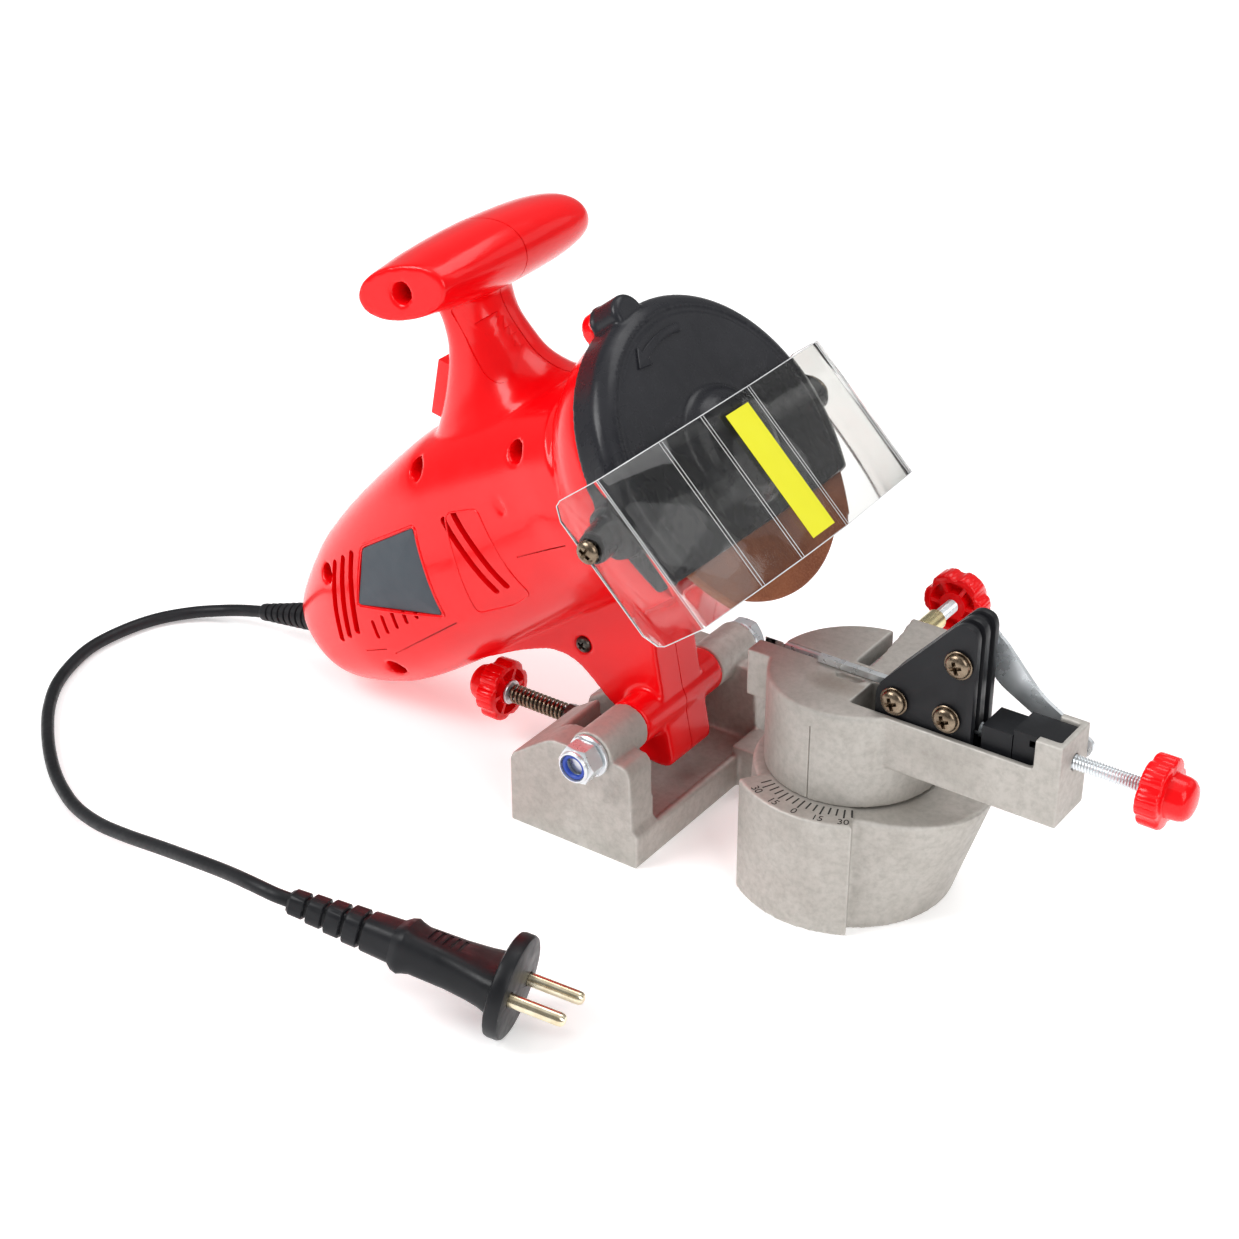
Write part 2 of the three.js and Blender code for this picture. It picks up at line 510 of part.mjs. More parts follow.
// Depth stop: screw, knob, thrust washer, spring and the nut trapped in the rear wall
function depthStop() {
  const washerFrom = depth.knobX + gap;
  const springFrom = washerFrom + depth.washerHeight + coil.wire + gap;
  const springTo = depth.nutFrom - coil.wire - gap;
  const nutBody = cut(
    rodX(depth.nutFrom, depth.nutTo, hexRadius(depth.nutFlats), 0, 0, hexagon)
      .rotateX(Math.PI / hexagon).translate(0, depth.y, depth.z),
    rodX(depth.nutFrom - overrun, depth.nutTo + overrun, depth.radius + gap, depth.y, depth.z));
  add(model, 'depth_nut', nutBody, looks.oxide());
  add(model, 'depth_washer', turnedX(ringProfile(depth.radius + gap, depth.washerRadius, washerFrom, washerFrom + depth.washerHeight), depth.y, depth.z), looks.zinc());
  const tipTaper = depth.radius / 3;
  const rod = turnedX([
    [0, depth.knobX - knob.flange], [depth.radius, depth.knobX - knob.flange],
    [depth.radius, depth.tipX - tipTaper], [depth.radius - tipTaper, depth.tipX], [0, depth.tipX],
  ], depth.y, depth.z);
  add(model, 'depth_rod', rod, looks.oxide());
  add(model, 'depth_knob', knobBody(depth.radius).rotateY(Math.PI).translate(depth.knobX, depth.y, depth.z), looks.red());
  add(model, 'depth_spring', coilSpring(springFrom, springTo, coil).translate(0, depth.y, depth.z), looks.oxide());
  console.log('depth spring least gap', leastCoilGap(springFrom, springTo, coil).toFixed(2));
}
depthStop();

// Turntable: drum, arm, slot lugs and clamp lug in one casting
function turntable() {
  const bottom = drum.height + gap;
  const softTop = turned([
    [0, bottom], [table.radius, bottom], [table.radius, table.top - table.edge],
    [table.radius - table.edge, table.top], [0, table.top],
  ], fine).translate(drum.x, drum.y, 0);
  const armBody = box(drum.x, arm.end, arm.near, arm.far, arm.bottom, table.top);
  const post = box(arm.postFrom, arm.end, arm.near, arm.far, arm.bottom, arm.postTop);
  const lugLength = lug.far - lug.near;
  const clampLug = prismZ(flatShape(scaled(lugShares, lugLength * 0.75, lugLength, drum.x, lug.near)), lug.bottom, table.top);
  const railLug = box(table.slotFrom, drum.x, table.lugY - table.lugHalf, table.lugY + table.lugHalf,
    table.top - table.slotDepth - table.lugHalf, table.top);
  const slotMiddle = drum.y;
  const slotHalf = table.slotWidth / 2;
  const chainSlot = box(table.slotFrom - overrun, clamp.jawTo + gap, slotMiddle - slotHalf, slotMiddle + slotHalf,
    table.top - table.slotDepth, table.top + overrun);
  const jawPocket = box(clamp.jawFrom - gap, clamp.jawTo + gap, slotMiddle, slotMiddle + slotHalf + clamp.jawThickness + gap,
    table.top - clamp.jawHeight - gap * 2, table.top + overrun);
  const channel = box(arm.channelFrom, guide.to + gap, arm.near + arm.wall, arm.far - arm.wall,
    arm.channelFloor, table.top + overrun);
  const notch = box(arm.postFrom - overrun, guide.coverTo + gap, guide.near - gap, guide.far + gap,
    guide.top, arm.postTop + overrun);
  const wedgeFar = drum.y + table.radius + overrun;
  const wedge = prismZ(flatShape([
    [table.moonCutX, table.moonCutFrom], [clamp.x + gap * 2, table.moonCutFrom],
    [clamp.x + gap * 2, clamp.sleeveRadius * 2], [clamp.x - clamp.radius + gap, wedgeFar], [table.moonCutX, wedgeFar],
  ]), table.grooveFloor, table.top + overrun);
  const rodHole = rodY(slotMiddle, lug.far + overrun, clamp.radius + gap, clamp.x, clamp.z);
  const screwHole = rodX(guide.to - overrun, arm.end + overrun, adjust.radius + gap, adjust.y, adjust.z);
  const indexLine = box(table.radius - table.indexDepth, table.radius + overrun, -table.indexWidth / 2, table.indexWidth / 2,
    bottom - overrun, bottom + table.indexHeight).rotateZ(viseAngle(0)).translate(drum.x, drum.y, 0);
  const lockBore = rodZ(bottom - overrun, table.grooveFloor - lock.headHeight * 2, lock.radius, drum.x, drum.y);
  return cut(join(softTop, armBody, post, clampLug, railLug),
    chainSlot, jawPocket, channel, notch, wedge, rodHole, screwHole, indexLine, lockBore);
}
add(model, 'turntable', turntable(), looks.cast());

// Lock screw up into the turntable, with its knob inside the hollow drum
function lockScrew() {
  const top = table.grooveFloor - lock.headHeight * 2 - gap;
  add(model, 'lock_screw', rodZ(lock.knobTop - knob.flange, top, lock.radius - gap, drum.x, drum.y), looks.zinc());
  add(model, 'lock_knob', knobBody(lock.radius).rotateY(Math.PI / 2)
    .translate(drum.x, drum.y, lock.knobTop), looks.red());
}
lockScrew();

// Clamp: jaw plate, screw, sleeve and knob
function chainClamp() {
  const jawNear = drum.y + table.slotWidth / 2;
  const jawFar = jawNear + clamp.jawThickness;
  add(model, 'clamp_jaw', box(clamp.jawFrom, clamp.jawTo, jawNear, jawFar, table.top - clamp.jawHeight, table.top - gap), looks.zinc());
  add(model, 'clamp_rod', rodY(jawFar + gap, clamp.knobY + knob.flange, clamp.radius, clamp.x, clamp.z), looks.zinc());
  add(model, 'clamp_sleeve', turnedY(ringProfile(clamp.radius + gap, clamp.sleeveRadius,
    clamp.sleeveFrom, clamp.sleeveFrom + clamp.sleeveLength), clamp.x, clamp.z), looks.yellowZinc());
  add(model, 'clamp_knob', knobBody(clamp.radius).rotateZ(Math.PI / 2).translate(clamp.x, clamp.knobY, clamp.z), looks.red());
}
chainClamp();

// Chain stop carriage: two plates, three screws, the pawl finger and the tail lever
function chainStop() {
  const width = carriage.right - carriage.left;
  const height = carriage.top - carriage.bottom;
  const outline = (inset) => flatShape(scaled(carriageShares, width - inset * 2, height - inset * 2,
    carriage.left + inset, carriage.bottom + inset));
  const places = scaled(carriageScrews, width, height, carriage.left, carriage.bottom);
  const holes = places.map(([x, z]) =>
    rodY(carriage.near - overrun, carriage.far + overrun, stopScrew.radius + gap, x, z));
  const nearPlateFar = carriage.near + carriage.plate;
  const farPlateNear = carriage.far - carriage.plate;
  const screwHole = rodX(adjust.tipX - gap, carriage.right + overrun, adjust.radius + gap, adjust.y, adjust.z);
  const tipHole = rodX(adjust.tipX - gap, adjust.tipX + adjust.tipCollarLength + gap, adjust.tipCollar + gap, adjust.y, adjust.z);
  add(model, 'carriage_near', cut(prismY(outline(0), carriage.near, nearPlateFar), ...holes), looks.black());
  const core = join(
    prismY(outline(carriage.groove), nearPlateFar + gap, farPlateNear + overrun / 2),
    prismY(outline(0), farPlateNear, carriage.far));
  add(model, 'carriage_far', cut(core, ...holes, screwHole, tipHole), looks.black());

  const pawlNear = carriage.far + gap;
  const pawlFar = pawlNear + pawl.thickness;
  const leverNear = pawlFar + gap;
  const leverFar = leverNear + lever.thickness;
  const [topPlace, pawlPlace] = places;
  places.forEach(([x, z], i) => {
    const reach = [leverFar - gap, pawlFar, carriage.far][i];
    const washerTop = carriage.near - gap;
    const washer = washerTop - stopScrew.washerHeight;
    const body = turnedY([
      [0, washer - stopScrew.headHeight], [stopScrew.headRadius * 0.6, washer - stopScrew.headHeight],
      [stopScrew.headRadius, washer - stopScrew.headHeight * 0.35], [stopScrew.headRadius, washer],
      [stopScrew.washerRadius, washer], [stopScrew.washerRadius, washerTop], [stopScrew.radius, washerTop],
      [stopScrew.radius, reach], [0, reach],
    ], x, z);
    add(model, `carriage_screw_${i + 1}`, body, looks.bronze());
  });

  const fingerBottom = table.top + pawl.lift;
  const finger = box(pawl.from, pawlPlace[0], pawlNear, pawlFar, fingerBottom, fingerBottom + pawl.fingerHeight);
  const tab = rodY(pawlNear, pawlFar, pawl.tabRadius, ...pawlPlace);
  const pawlHole = rodY(pawlNear - overrun, pawlFar + overrun, stopScrew.radius + gap, ...pawlPlace);
  add(model, 'stop_pawl', cut(join(finger, tab), pawlHole), looks.zinc());

  const plate = prismY(flatShape([
    [topPlace[0] - lever.hubRadius, topPlace[1]], [topPlace[0], topPlace[1] + lever.hubRadius],
    [topPlace[0] + lever.hubRadius, topPlace[1] + lever.hubRadius / 2], [lever.elbowX, lever.elbowZ + lever.width / 2],
    [lever.endX, lever.endZ + lever.tailWidth / 2], [lever.endX - lever.tailWidth / 3, lever.endZ - lever.tailWidth / 2],
    [lever.elbowX, lever.elbowZ - lever.width / 2], [topPlace[0] + lever.hubRadius, topPlace[1] - lever.width * 1.6],
  ]), leverNear, leverFar);
  const hub = rodY(leverNear, leverFar, lever.hubRadius, ...topPlace);
  const spacer = rodY(carriage.far + gap, leverNear + lever.thickness / 2, lever.spacerRadius, ...topPlace);
  const leverHole = rodY(carriage.far - overrun, leverFar + overrun, stopScrew.radius + gap, ...topPlace);
  add(model, 'stop_lever', cut(join(plate, hub, spacer), leverHole), looks.zinc());
}
chainStop();

// Screw guide in the arm, with its cover, and the adjusting screw and knob
function adjuster() {
  const body = join(
    box(guide.from, guide.to, guide.near, guide.far, arm.channelFloor + gap, guide.top),
    box(guide.coverFrom, guide.coverTo, guide.near, guide.far, guide.top, guide.top + guide.coverHeight));
  const lowered = box(guide.to - overrun, guide.coverTo + overrun, guide.near - overrun, guide.far + overrun,
    guide.top - overrun, guide.top + gap);
  const bore = rodX(guide.from - overrun, guide.coverTo, adjust.radius + gap, adjust.y, adjust.z);
  add(model, 'slide_guide', cut(body, lowered, bore), looks.black());
  const collarEnd = adjust.tipX + adjust.tipCollarLength;
  const screw = turnedX([
    [0, adjust.tipX], [adjust.tipCollar, adjust.tipX], [adjust.tipCollar, collarEnd], [adjust.radius, collarEnd],
    [adjust.radius, adjust.knobX + knob.flange], [0, adjust.knobX + knob.flange],
  ], adjust.y, adjust.z);
  add(model, 'adjust_screw', screw, looks.zinc());
  add(model, 'adjust_knob', knobBody(adjust.radius).translate(adjust.knobX, adjust.y, adjust.z), looks.red());
}
adjuster();

// Grinder head
const head = new THREE.Group();
head.position.set(pivot.x, 0, pivot.z);
head.rotation.y = THREE.MathUtils.degToRad(-pivot.tilt);
model.add(head);

// Outer form of the motor housing before it is split
function housingOutside() {
  const rings = barrelShares.map(([along, top, bottom, half]) => {
    const u = barrel.rear + along * barrel.reach;
    const high = barrelBottom + top * barrel.height;
    const low = barrelBottom + bottom * barrel.height;
    return superRing(barrel.points, barrel.exponent, (a, b) =>
      [u, a * half * barrel.halfWidth, (high + low) / 2 + (b * (high - low)) / 2]);
  });
  const body = loft(rings);
  const flare = turnedX(skirtShares.map(([along, r]) =>
    [r * skirt.radius, skirt.front - skirtLength * (1 - along)]), 0, motor.w, fine);
  const flareCut = cut(flare, box(skirt.front - skirtLength - overrun, skirt.front + overrun,
    -skirt.radius - overrun, skirt.radius + overrun, 0, skirt.cutW));
  const neckRings = neckShares.map(([rise, rear, front, half]) => {
    const w = neck.from + rise * (neck.to - neck.from);
    const back = neck.centreU + rear * neck.halfReach;
    const fore = neck.centreU + front * neck.halfReach;
    return superRing(round, neck.exponent, (a, b) =>
      [(back + fore) / 2 + (a * (fore - back)) / 2, b * half * neck.halfWidth, w]);
  });
  const ear = rodX(skirt.front - guard.earThickness, skirt.front, guard.topLugRadius - gap, guard.topLugV, guard.topLugW);
  return join(body, flareCut, loft(neckRings), handleBody(), legBody(), ear, labelPlate(0, label.seat, label.border));
}

function handleBody() {
  const lean = THREE.MathUtils.degToRad(-handle.lean);
  const length = handle.far - handle.near;
  return loft(handleShares.map(([along, reach, rise]) => superRing(round, 2.1, (a, b) => {
    const du = a * reach * handle.reach * Math.cos(lean) - b * rise * handle.rise * Math.sin(lean);
    const dw = a * reach * handle.reach * Math.sin(lean) + b * rise * handle.rise * Math.cos(lean);
    const end = along < 0.5 ? 1 - along * 2 : -(along * 2 - 1);
    return [handle.u + du, handle.near + along * length + handle.slant * end * du, handle.w + dw];
  })));
}

function legBody() {
  const outline = [
    ...scaled(legFrontShares, leg.frontU, leg.baseW),
    ...scaled(legRearShares, leg.frontU, leg.baseW),
  ];
  const plate = prismY(flatShape(outline.reverse()), -leg.halfWidth, leg.halfWidth);
  const hubReach = pivot.bossInner - gap;
  return join(plate, rodY(-hubReach, hubReach, leg.hubRadius, 0, 0));
}

// Places of the slots that let air out, on both sides
function vents() {
  const row = (place, count, pitch) => Array.from({ length: count }, (unused, i) =>
    [-1, 1].map((side) => {
      const inner = barrel.halfWidth - slot.depth;
      const from = side > 0 ? inner : -barrel.halfWidth - overrun;
      return box(-slot.width / 2, slot.width / 2, from, from + slot.depth + overrun, -place.length / 2, place.length / 2)
        .rotateY(THREE.MathUtils.degToRad(place.lean))
        .translate(place.u - i * pitch, 0, place.w);
    })).flat();
  return [
    ...row(ventRear, slot.rearCount, slot.rearPitch),
    ...row(ventFront, slot.frontCount, slot.frontPitch),
    ...row(ventSmall, slot.smallCount, slot.smallPitch),
  ];
}

// Everything the housing is hollowed by, from tail to nose
function housingInside() {
  const statorRoom = rodX(stator.from - stator.coilReach - gap, stator.to + stator.coilReach + gap, stator.radius + gap, 0, motor.w, fine);
  const brushRoom = rodX(commutator.from - brush.width, stator.from - stator.coilReach, commutator.radius + brush.length + brush.height / 2, 0, motor.w);
  const rearSeat = rodX(bearing.rearU - bearing.width / 2 - gap, bearing.rearU + bearing.width / 2 + gap, bearing.radius + gap, 0, motor.w);
  const frontSeat = rodX(bearing.frontU - bearing.width / 2 - gap, bearing.frontU + bearing.width / 2 + gap, bearing.radius + gap, 0, motor.w);
  const shaftWay = rodX(bearing.rearU - bearing.width, skirt.front + overrun, motor.shaftRadius * 1.8, 0, motor.w);
  const springRoom = rodY(-pocket.halfWidth, pocket.halfWidth, pocket.radius, 0, 0);
  const sleeveBore = rodY(-block.length, block.length, pivot.boltRadius + gap, 0, 0);
  const cordSocket = reliefBody(gap);
  const cordWay = rodX(bearing.rearU - bearing.width * 5, commutator.from - brush.width + overrun, cord.radius, 0, relief.rootW);
  const earBack = skirt.front - guard.earThickness;
  const guardScrewRoom = rodX(earBack - skirtLength / 2, earBack, shieldScrew.headRadius + gap * 2, guard.topLugV, guard.topLugW);
  const guardScrewWay = rodX(earBack - overrun, skirt.front + overrun, shieldScrew.radius + gap, guard.topLugV, guard.topLugW);
  return [guardScrewRoom, guardScrewWay, statorRoom, brushRoom, rearSeat, frontSeat, shaftWay, springRoom, sleeveBore, cordSocket, cordWay, ...vents()];
}

function screwWays() {
  return towerPlaces.map(([u, w], i) => join(
    rodY(-towerMouths[i] - overrun * 4, -tower.depth / 2, tower.holeRadius, u, w, coarse),
    rodY(-tower.depth / 2 - overrun, tower.depth / 2, tower.holeRadius / 2, u, w, coarse)));
}

// The label's outline as a plate that lies along the housing's side, grown by a border
function labelPlate(from, to, border) {
  const middle = [(label.from + label.to) / 2, (label.bottom + label.top) / 2];
  const outline = scaled(labelShares, label.to - label.from, label.top - label.bottom, label.from, label.bottom)
    .map(([u, w]) => [u + border * Math.sign(u - middle[0]), w + border * Math.sign(w - middle[1])]);
  return prismY(flatShape(outline), from - label.side, to - label.side)
    .translate(-label.to, label.side, 0).rotateZ(THREE.MathUtils.degToRad(-label.lean))
    .translate(label.to, -label.side, 0);
}

function housings() {
  const handleHole = rodY(handle.near - overrun * 4, handle.near + handle.holeDepth, handle.holeRadius, handle.u, handle.w);
  const handleWay = rodY(handle.near, handle.near + handle.holeDepth * 3, handle.screwRadius + gap, handle.u, handle.w);
  const far = -barrel.rear + overrun;
  const reach = barrel.reach + far;
  const half = (side) => box(-far * 1.4, reach, side > 0 ? gap / 2 : -far, side > 0 ? far : -gap / 2, -far, far * 2);
  const whole = cut(housingOutside(), ...housingInside(), ...screwWays(), handleHole, handleWay,
    switchRoom(), labelPlate(-label.seat, 0, overrun));
  add(head, 'housing_near', cut(common(whole, half(-1)), labelPlate(-overrun, label.thickness + label.depth, 0)), looks.red());
  add(head, 'housing_far', common(whole, half(1)), looks.red());
  add(head, 'label_panel', labelPlate(gap, gap + label.thickness, 0), looks.slate());
  towerPlaces.forEach(([u, w], i) => {
    const seat = -tower.depth / 2;
    const headHeight = tower.holeRadius * 0.8;
    const body = turnedY([
      [0, seat - headHeight - gap], [tower.holeRadius * 0.5, seat - headHeight - gap],
      [tower.holeRadius - gap, seat - headHeight / 2 - gap], [tower.holeRadius - gap, seat - gap],
      [tower.holeRadius / 2 - gap, seat - gap], [tower.holeRadius / 2 - gap, tower.depth / 2 - gap], [0, tower.depth / 2 - gap],
    ], u, w, coarse);
    add(head, `housing_screw_${i + 1}`, body, looks.bronze());
  });
  const seat = handle.near + handle.holeDepth - gap;
  add(head, 'handle_screw', turnedY([
    [0, seat - handle.screwRadius], [handle.holeRadius - gap, seat - handle.screwRadius], [handle.holeRadius - gap, seat],
    [handle.screwRadius, seat], [handle.screwRadius, seat + handle.holeDepth * 2 - gap * 2], [0, seat + handle.holeDepth * 2 - gap * 2],
  ], handle.u, handle.w, coarse), looks.bronze());
}

// Switch plate on the neck's rear slope, with its rocker
const switchLean = THREE.MathUtils.degToRad(-switchPlate.lean);
const ontoNeck = (geometry) => geometry.rotateY(switchLean).translate(switchPlate.u, 0, switchPlate.w);

function switchRoom() {
  return ontoNeck(box(-switchPlate.length / 2 - gap, switchPlate.length / 2 + gap,
    -switchPlate.width / 2 - gap, switchPlate.width / 2 + gap, -switchPlate.thickness * 3, switchPlate.length));
}

function switchPieces() {
  const { length, width, thickness } = switchPlate;
  const centre = thickness - rocker.sink;
  const plate = box(-length / 2, length / 2, -width / 2, width / 2, -thickness * 3 + gap, thickness);
  const halfWidth = rocker.width / 2;
  const room = rodY(-halfWidth - gap, halfWidth + gap, rocker.radius + gap, 0, centre);
  add(head, 'switch_plate', ontoNeck(cut(plate, room)), looks.red());
  const face = THREE.MathUtils.degToRad(rocker.face);
  const swing = Math.PI + face * 2;
  const arc = Array.from({ length: rocker.arcSteps + 1 }, (unused, i) => {
    const angle = face - (swing * i) / rocker.arcSteps;
    return [rocker.radius * Math.cos(angle), rocker.radius * Math.sin(angle)];
  });
  const outline = [[0, rocker.hollow], ...arc];
  const body = prismY(flatShape(outline), -halfWidth, halfWidth)
    .rotateY(THREE.MathUtils.degToRad(-rocker.throw / 2)).translate(0, 0, centre);
  add(head, 'switch_rocker', ontoNeck(body), looks.black());
}

// Cord relief, turned about an axis through the tail and bent down with the head
function reliefBody(extra) {
  const { length, rootRadius, tipRadius } = relief;
  const socket = rootRadius * 2;
  const profile = [
    [0, -length + (extra ? -overrun : 0)], [tipRadius + extra, -length + (extra ? -overrun : 0)], [rootRadius * 0.8 + extra, -length * 0.35],
    [rootRadius + extra, -rootRadius], [rootRadius + extra, 0], [rootRadius * 1.25 + extra, 0 - extra],
    [rootRadius * 1.25 + extra, rootRadius / 2 + extra], [rootRadius * 0.9 + extra, socket / 2 + extra], [0, socket / 2 + extra],
  ];
  return turnedX(profile, 0, 0).rotateY(THREE.MathUtils.degToRad(pivot.tilt - 14))
    .translate(relief.rootU, 0, relief.rootW);
}

// Wheel guard: a turned shell, cut open below, with lugs for its fixings
function wheelGuard() {
  const { back, front, radius, wall, edge } = guard;
  const faceRadius = radius - edge * 0.7;
  const dome = guard.domeHeight;
  const outer = [
    [0, back], [radius, back], [radius, front - edge], [radius - edge * 0.2, front - edge * 0.35],
    [radius - edge * 0.45, front - edge * 0.08], [faceRadius - edge * 0.2, front], [guard.domeRadius, front],
    [guard.domeRadius * 0.9, front + dome * 0.3], [guard.domeRadius * 0.68, front + dome * 0.78],
    [guard.domeRadius * 0.35, front + dome], [0, front + dome],
  ];
  const inner = [
    [0, back - overrun], [radius - wall, back - overrun], [radius - wall, front - edge],
    [radius - wall - edge * 0.15, front - edge * 0.45], [faceRadius - wall, front - wall], [guard.domeRadius + gap, front - wall],
    [guard.domeRadius * 0.84, front + dome * 0.15], [guard.domeRadius * 0.6, front + dome * 0.6],
    [guard.domeRadius * 0.3, front + dome - wall], [0, front + dome - wall],
  ];
  const lugs = [-1, 1].map((side) => rodY(side > 0 ? radius - wall : -guard.lugReach, side > 0 ? guard.lugReach : -radius + wall,
    guard.lugRadius, guard.lugU, guard.lugW));
  const topLug = rodX(back, front - edge / 2, guard.topLugRadius, guard.topLugV, guard.topLugW);
  const wheelRoom = turnedX(inner, 0, motor.w, fine);
  const mouth = box(back - radius, front + dome + overrun, -radius * 1.5, radius * 1.5, -radius, guard.mouthW);
  const behind = box(back - radius, back, -radius + edge, radius - edge, -radius, radius * 3);
  const lugHoles = [-1, 1].map((side) => {
    const end = guard.lugReach + overrun;
    const start = guard.lugReach - shieldScrew.length;
    return rodY(side > 0 ? start : -end, side > 0 ? end : -start, shieldScrew.radius + gap, guard.lugU, guard.lugW, coarse);
  });
  const screwHole = rodX(back - overrun, front - edge, shieldScrew.radius + gap, guard.topLugV, guard.topLugW, coarse);
  const shell = cut(join(turnedX(outer, 0, motor.w, fine), topLug), wheelRoom);
  return cut(join(shell, ...lugs), mouth, behind, ...lugHoles, screwHole);
}

// Clear shield: a folded sheet with side flanges, leaning forward at its foot
function eyeShield() {
  const { thickness, top, bottom } = shield;
  const plan = scaled(shieldPlanShares, shieldPlan.across, shieldPlan.forward);
  const inward = scaled(shieldPlanShares, shieldPlan.across - thickness, shieldPlan.forward - thickness);
  inward[0][1] = plan[0][1];
  inward[inward.length - 1][1] = plan[plan.length - 1][1];
  const outline = [...plan, ...inward.reverse()].map(([v, u]) => [u, v]);
  const sheet = prismZ(flatShape(outline.reverse()), bottom, top);
  const leanTan = Math.tan(THREE.MathUtils.degToRad(shield.lean));
  const leaned = sheet.applyMatrix4(new THREE.Matrix4().set(
    1, 0, -leanTan, leanTan * top, 0, 1, 0, 0, 0, 0, 1, 0, 0, 0, 0, 1));
  const holes = rodY(-shieldPlan.across * 2, shieldPlan.across * 2, shield.holeRadius, guard.lugU, guard.lugW, coarse);
  return cut(leaned, holes);
}

function guardPieces() {
  add(head, 'wheel_guard', wheelGuard(), looks.charcoal());
  const earBack = skirt.front - guard.earThickness;
  add(head, 'guard_screw', turnedX([
    [0, earBack - shieldScrew.headHeight], [shieldScrew.headRadius * 0.6, earBack - shieldScrew.headHeight],
    [shieldScrew.headRadius, earBack - shieldScrew.headHeight * 0.5], [shieldScrew.headRadius, earBack - gap],
    [shieldScrew.radius, earBack - gap], [shieldScrew.radius, guard.front - guard.edge - overrun / 2], [0, guard.front - guard.edge - overrun / 2],
  ], guard.topLugV, guard.topLugW), looks.bronze());
  add(head, 'eye_shield', eyeShield(), looks.clear());
  ['near', 'far'].forEach((name, i) => {
    const side = i === 0 ? -1 : 1;
    const seat = shield.side + gap;
    const start = guard.lugReach - shieldScrew.length + gap;
    const profile = [
      [0, start], [shieldScrew.radius, start], [shieldScrew.radius, seat], [shieldScrew.headRadius, seat],
      [shieldScrew.headRadius, seat + shieldScrew.headHeight * 0.5],
      [shieldScrew.headRadius * 0.6, seat + shieldScrew.headHeight], [0, seat + shieldScrew.headHeight],
    ];
    const body = turnedY(profile, 0, 0);
    if (side < 0) body.rotateX(Math.PI);
    add(head, `shield_screw_${name}`, body.translate(guard.lugU, 0, guard.lugW), looks.bronze());
  });
}

// Motor, shaft and wheel
function motorPieces() {
  const { radius, from, to, coilReach, tooth } = stator;
  const bore = motor.coreRadius + motor.airGap;
  const ring = turnedX(ringProfile(radius - tooth / 2, radius, from, to), 0, motor.w, fine);
  const poles = [-1, 1].map((side) => cut(
    box(from, to, -radius * 0.6, radius * 0.6, side > 0 ? motor.w : motor.w - radius + 1 * gap, side > 0 ? motor.w + radius - gap : motor.w),
    rodX(from - overrun, to + overrun, bore, 0, motor.w, fine)));
  const coils = [-1, 1].map((side) => cut(
    box(from - coilReach, to + coilReach, -radius * 0.5, radius * 0.5,
      side > 0 ? motor.w + bore : motor.w - radius * 0.84, side > 0 ? motor.w + radius * 0.84 : motor.w - bore),
    rodX(from - coilReach - overrun, to + coilReach + overrun, bore, 0, motor.w, fine)));
  const core = rodX(from - coilReach, to + coilReach, radius, 0, motor.w, fine);
  add(head, 'stator', common(join(ring, ...poles, ...coils), core), looks.oxide());

  const wheelBack = wheel.u - wheel.thickness / 2;
  const wheelFront = wheel.u + wheel.thickness / 2;
  const shoulder = wheelBack - gap - wheel.flangeThickness - gap;
  const shaftEnd = wheelFront + gap + wheel.flangeThickness + wheel.nutHeight;
  const rearEnd = bearing.rearU - bearing.width / 2;
  const shaft = turnedX([
    [0, rearEnd], [motor.shaftRadius, rearEnd], [motor.shaftRadius, commutator.from],
    [commutator.radius, commutator.from], [commutator.radius, commutator.to], [motor.shaftRadius, commutator.to],
    [motor.shaftRadius, motor.coreFrom], [motor.coreRadius, motor.coreFrom], [motor.coreRadius, motor.coreTo],
    [motor.shaftRadius, motor.coreTo], [motor.shaftRadius, bearing.frontU + bearing.width],
    [motor.shaftRadius * 1.4, bearing.frontU + bearing.width], [motor.shaftRadius * 1.4, shoulder],
    [wheel.spindleRadius - gap, shoulder], [wheel.spindleRadius - gap, shaftEnd], [0, shaftEnd],
  ], 0, motor.w);
  add(head, 'rotor', shaft, looks.steel());
  const race = (middle) => turnedX(ringProfile(motor.shaftRadius + gap, bearing.radius, middle - bearing.width / 2, middle + bearing.width / 2), 0, motor.w);
  add(head, 'bearing_rear', race(bearing.rearU), looks.steel());
  add(head, 'bearing_front', race(bearing.frontU), looks.steel());
  [-1, 1].forEach((side) => {
    const near = commutator.radius + gap;
    const middle = (commutator.from + commutator.to) / 2;
    const y0 = side > 0 ? near : -near - brush.length;
    add(head, side < 0 ? 'brush_near' : 'brush_far', box(middle - brush.width / 2, middle + brush.width / 2,
      y0, y0 + brush.length, motor.w - brush.height / 2, motor.w + brush.height / 2), looks.carbon());
  });

  const disc = (outer, bore, u0, u1) => turnedX(ringProfile(bore, outer, u0, u1), 0, motor.w, fine);
  const collarBore = wheel.spindleRadius;
  add(head, 'wheel_flange_inner', join(
    disc(wheel.flangeRadius, collarBore, shoulder + gap, wheelBack - gap),
    disc(wheel.bore - gap, collarBore, wheelBack - overrun, wheelFront - gap)), looks.steel());
  add(head, 'grinding_wheel', disc(wheel.radius, wheel.bore, wheelBack, wheelFront), looks.abrasive());
  const outerFace = wheelFront + gap;
  add(head, 'wheel_flange_outer', disc(wheel.flangeRadius, collarBore, outerFace, outerFace + wheel.flangeThickness - gap * 2), looks.steel());
  const nutFace = outerFace + wheel.flangeThickness - gap;
  add(head, 'spindle_nut', cut(
    rodX(nutFace, nutFace + wheel.nutHeight, hexRadius(wheel.nutFlats), 0, motor.w, hexagon),
    rodX(nutFace - overrun, nutFace + wheel.nutHeight + overrun, collarBore, 0, motor.w)), looks.zinc());
}

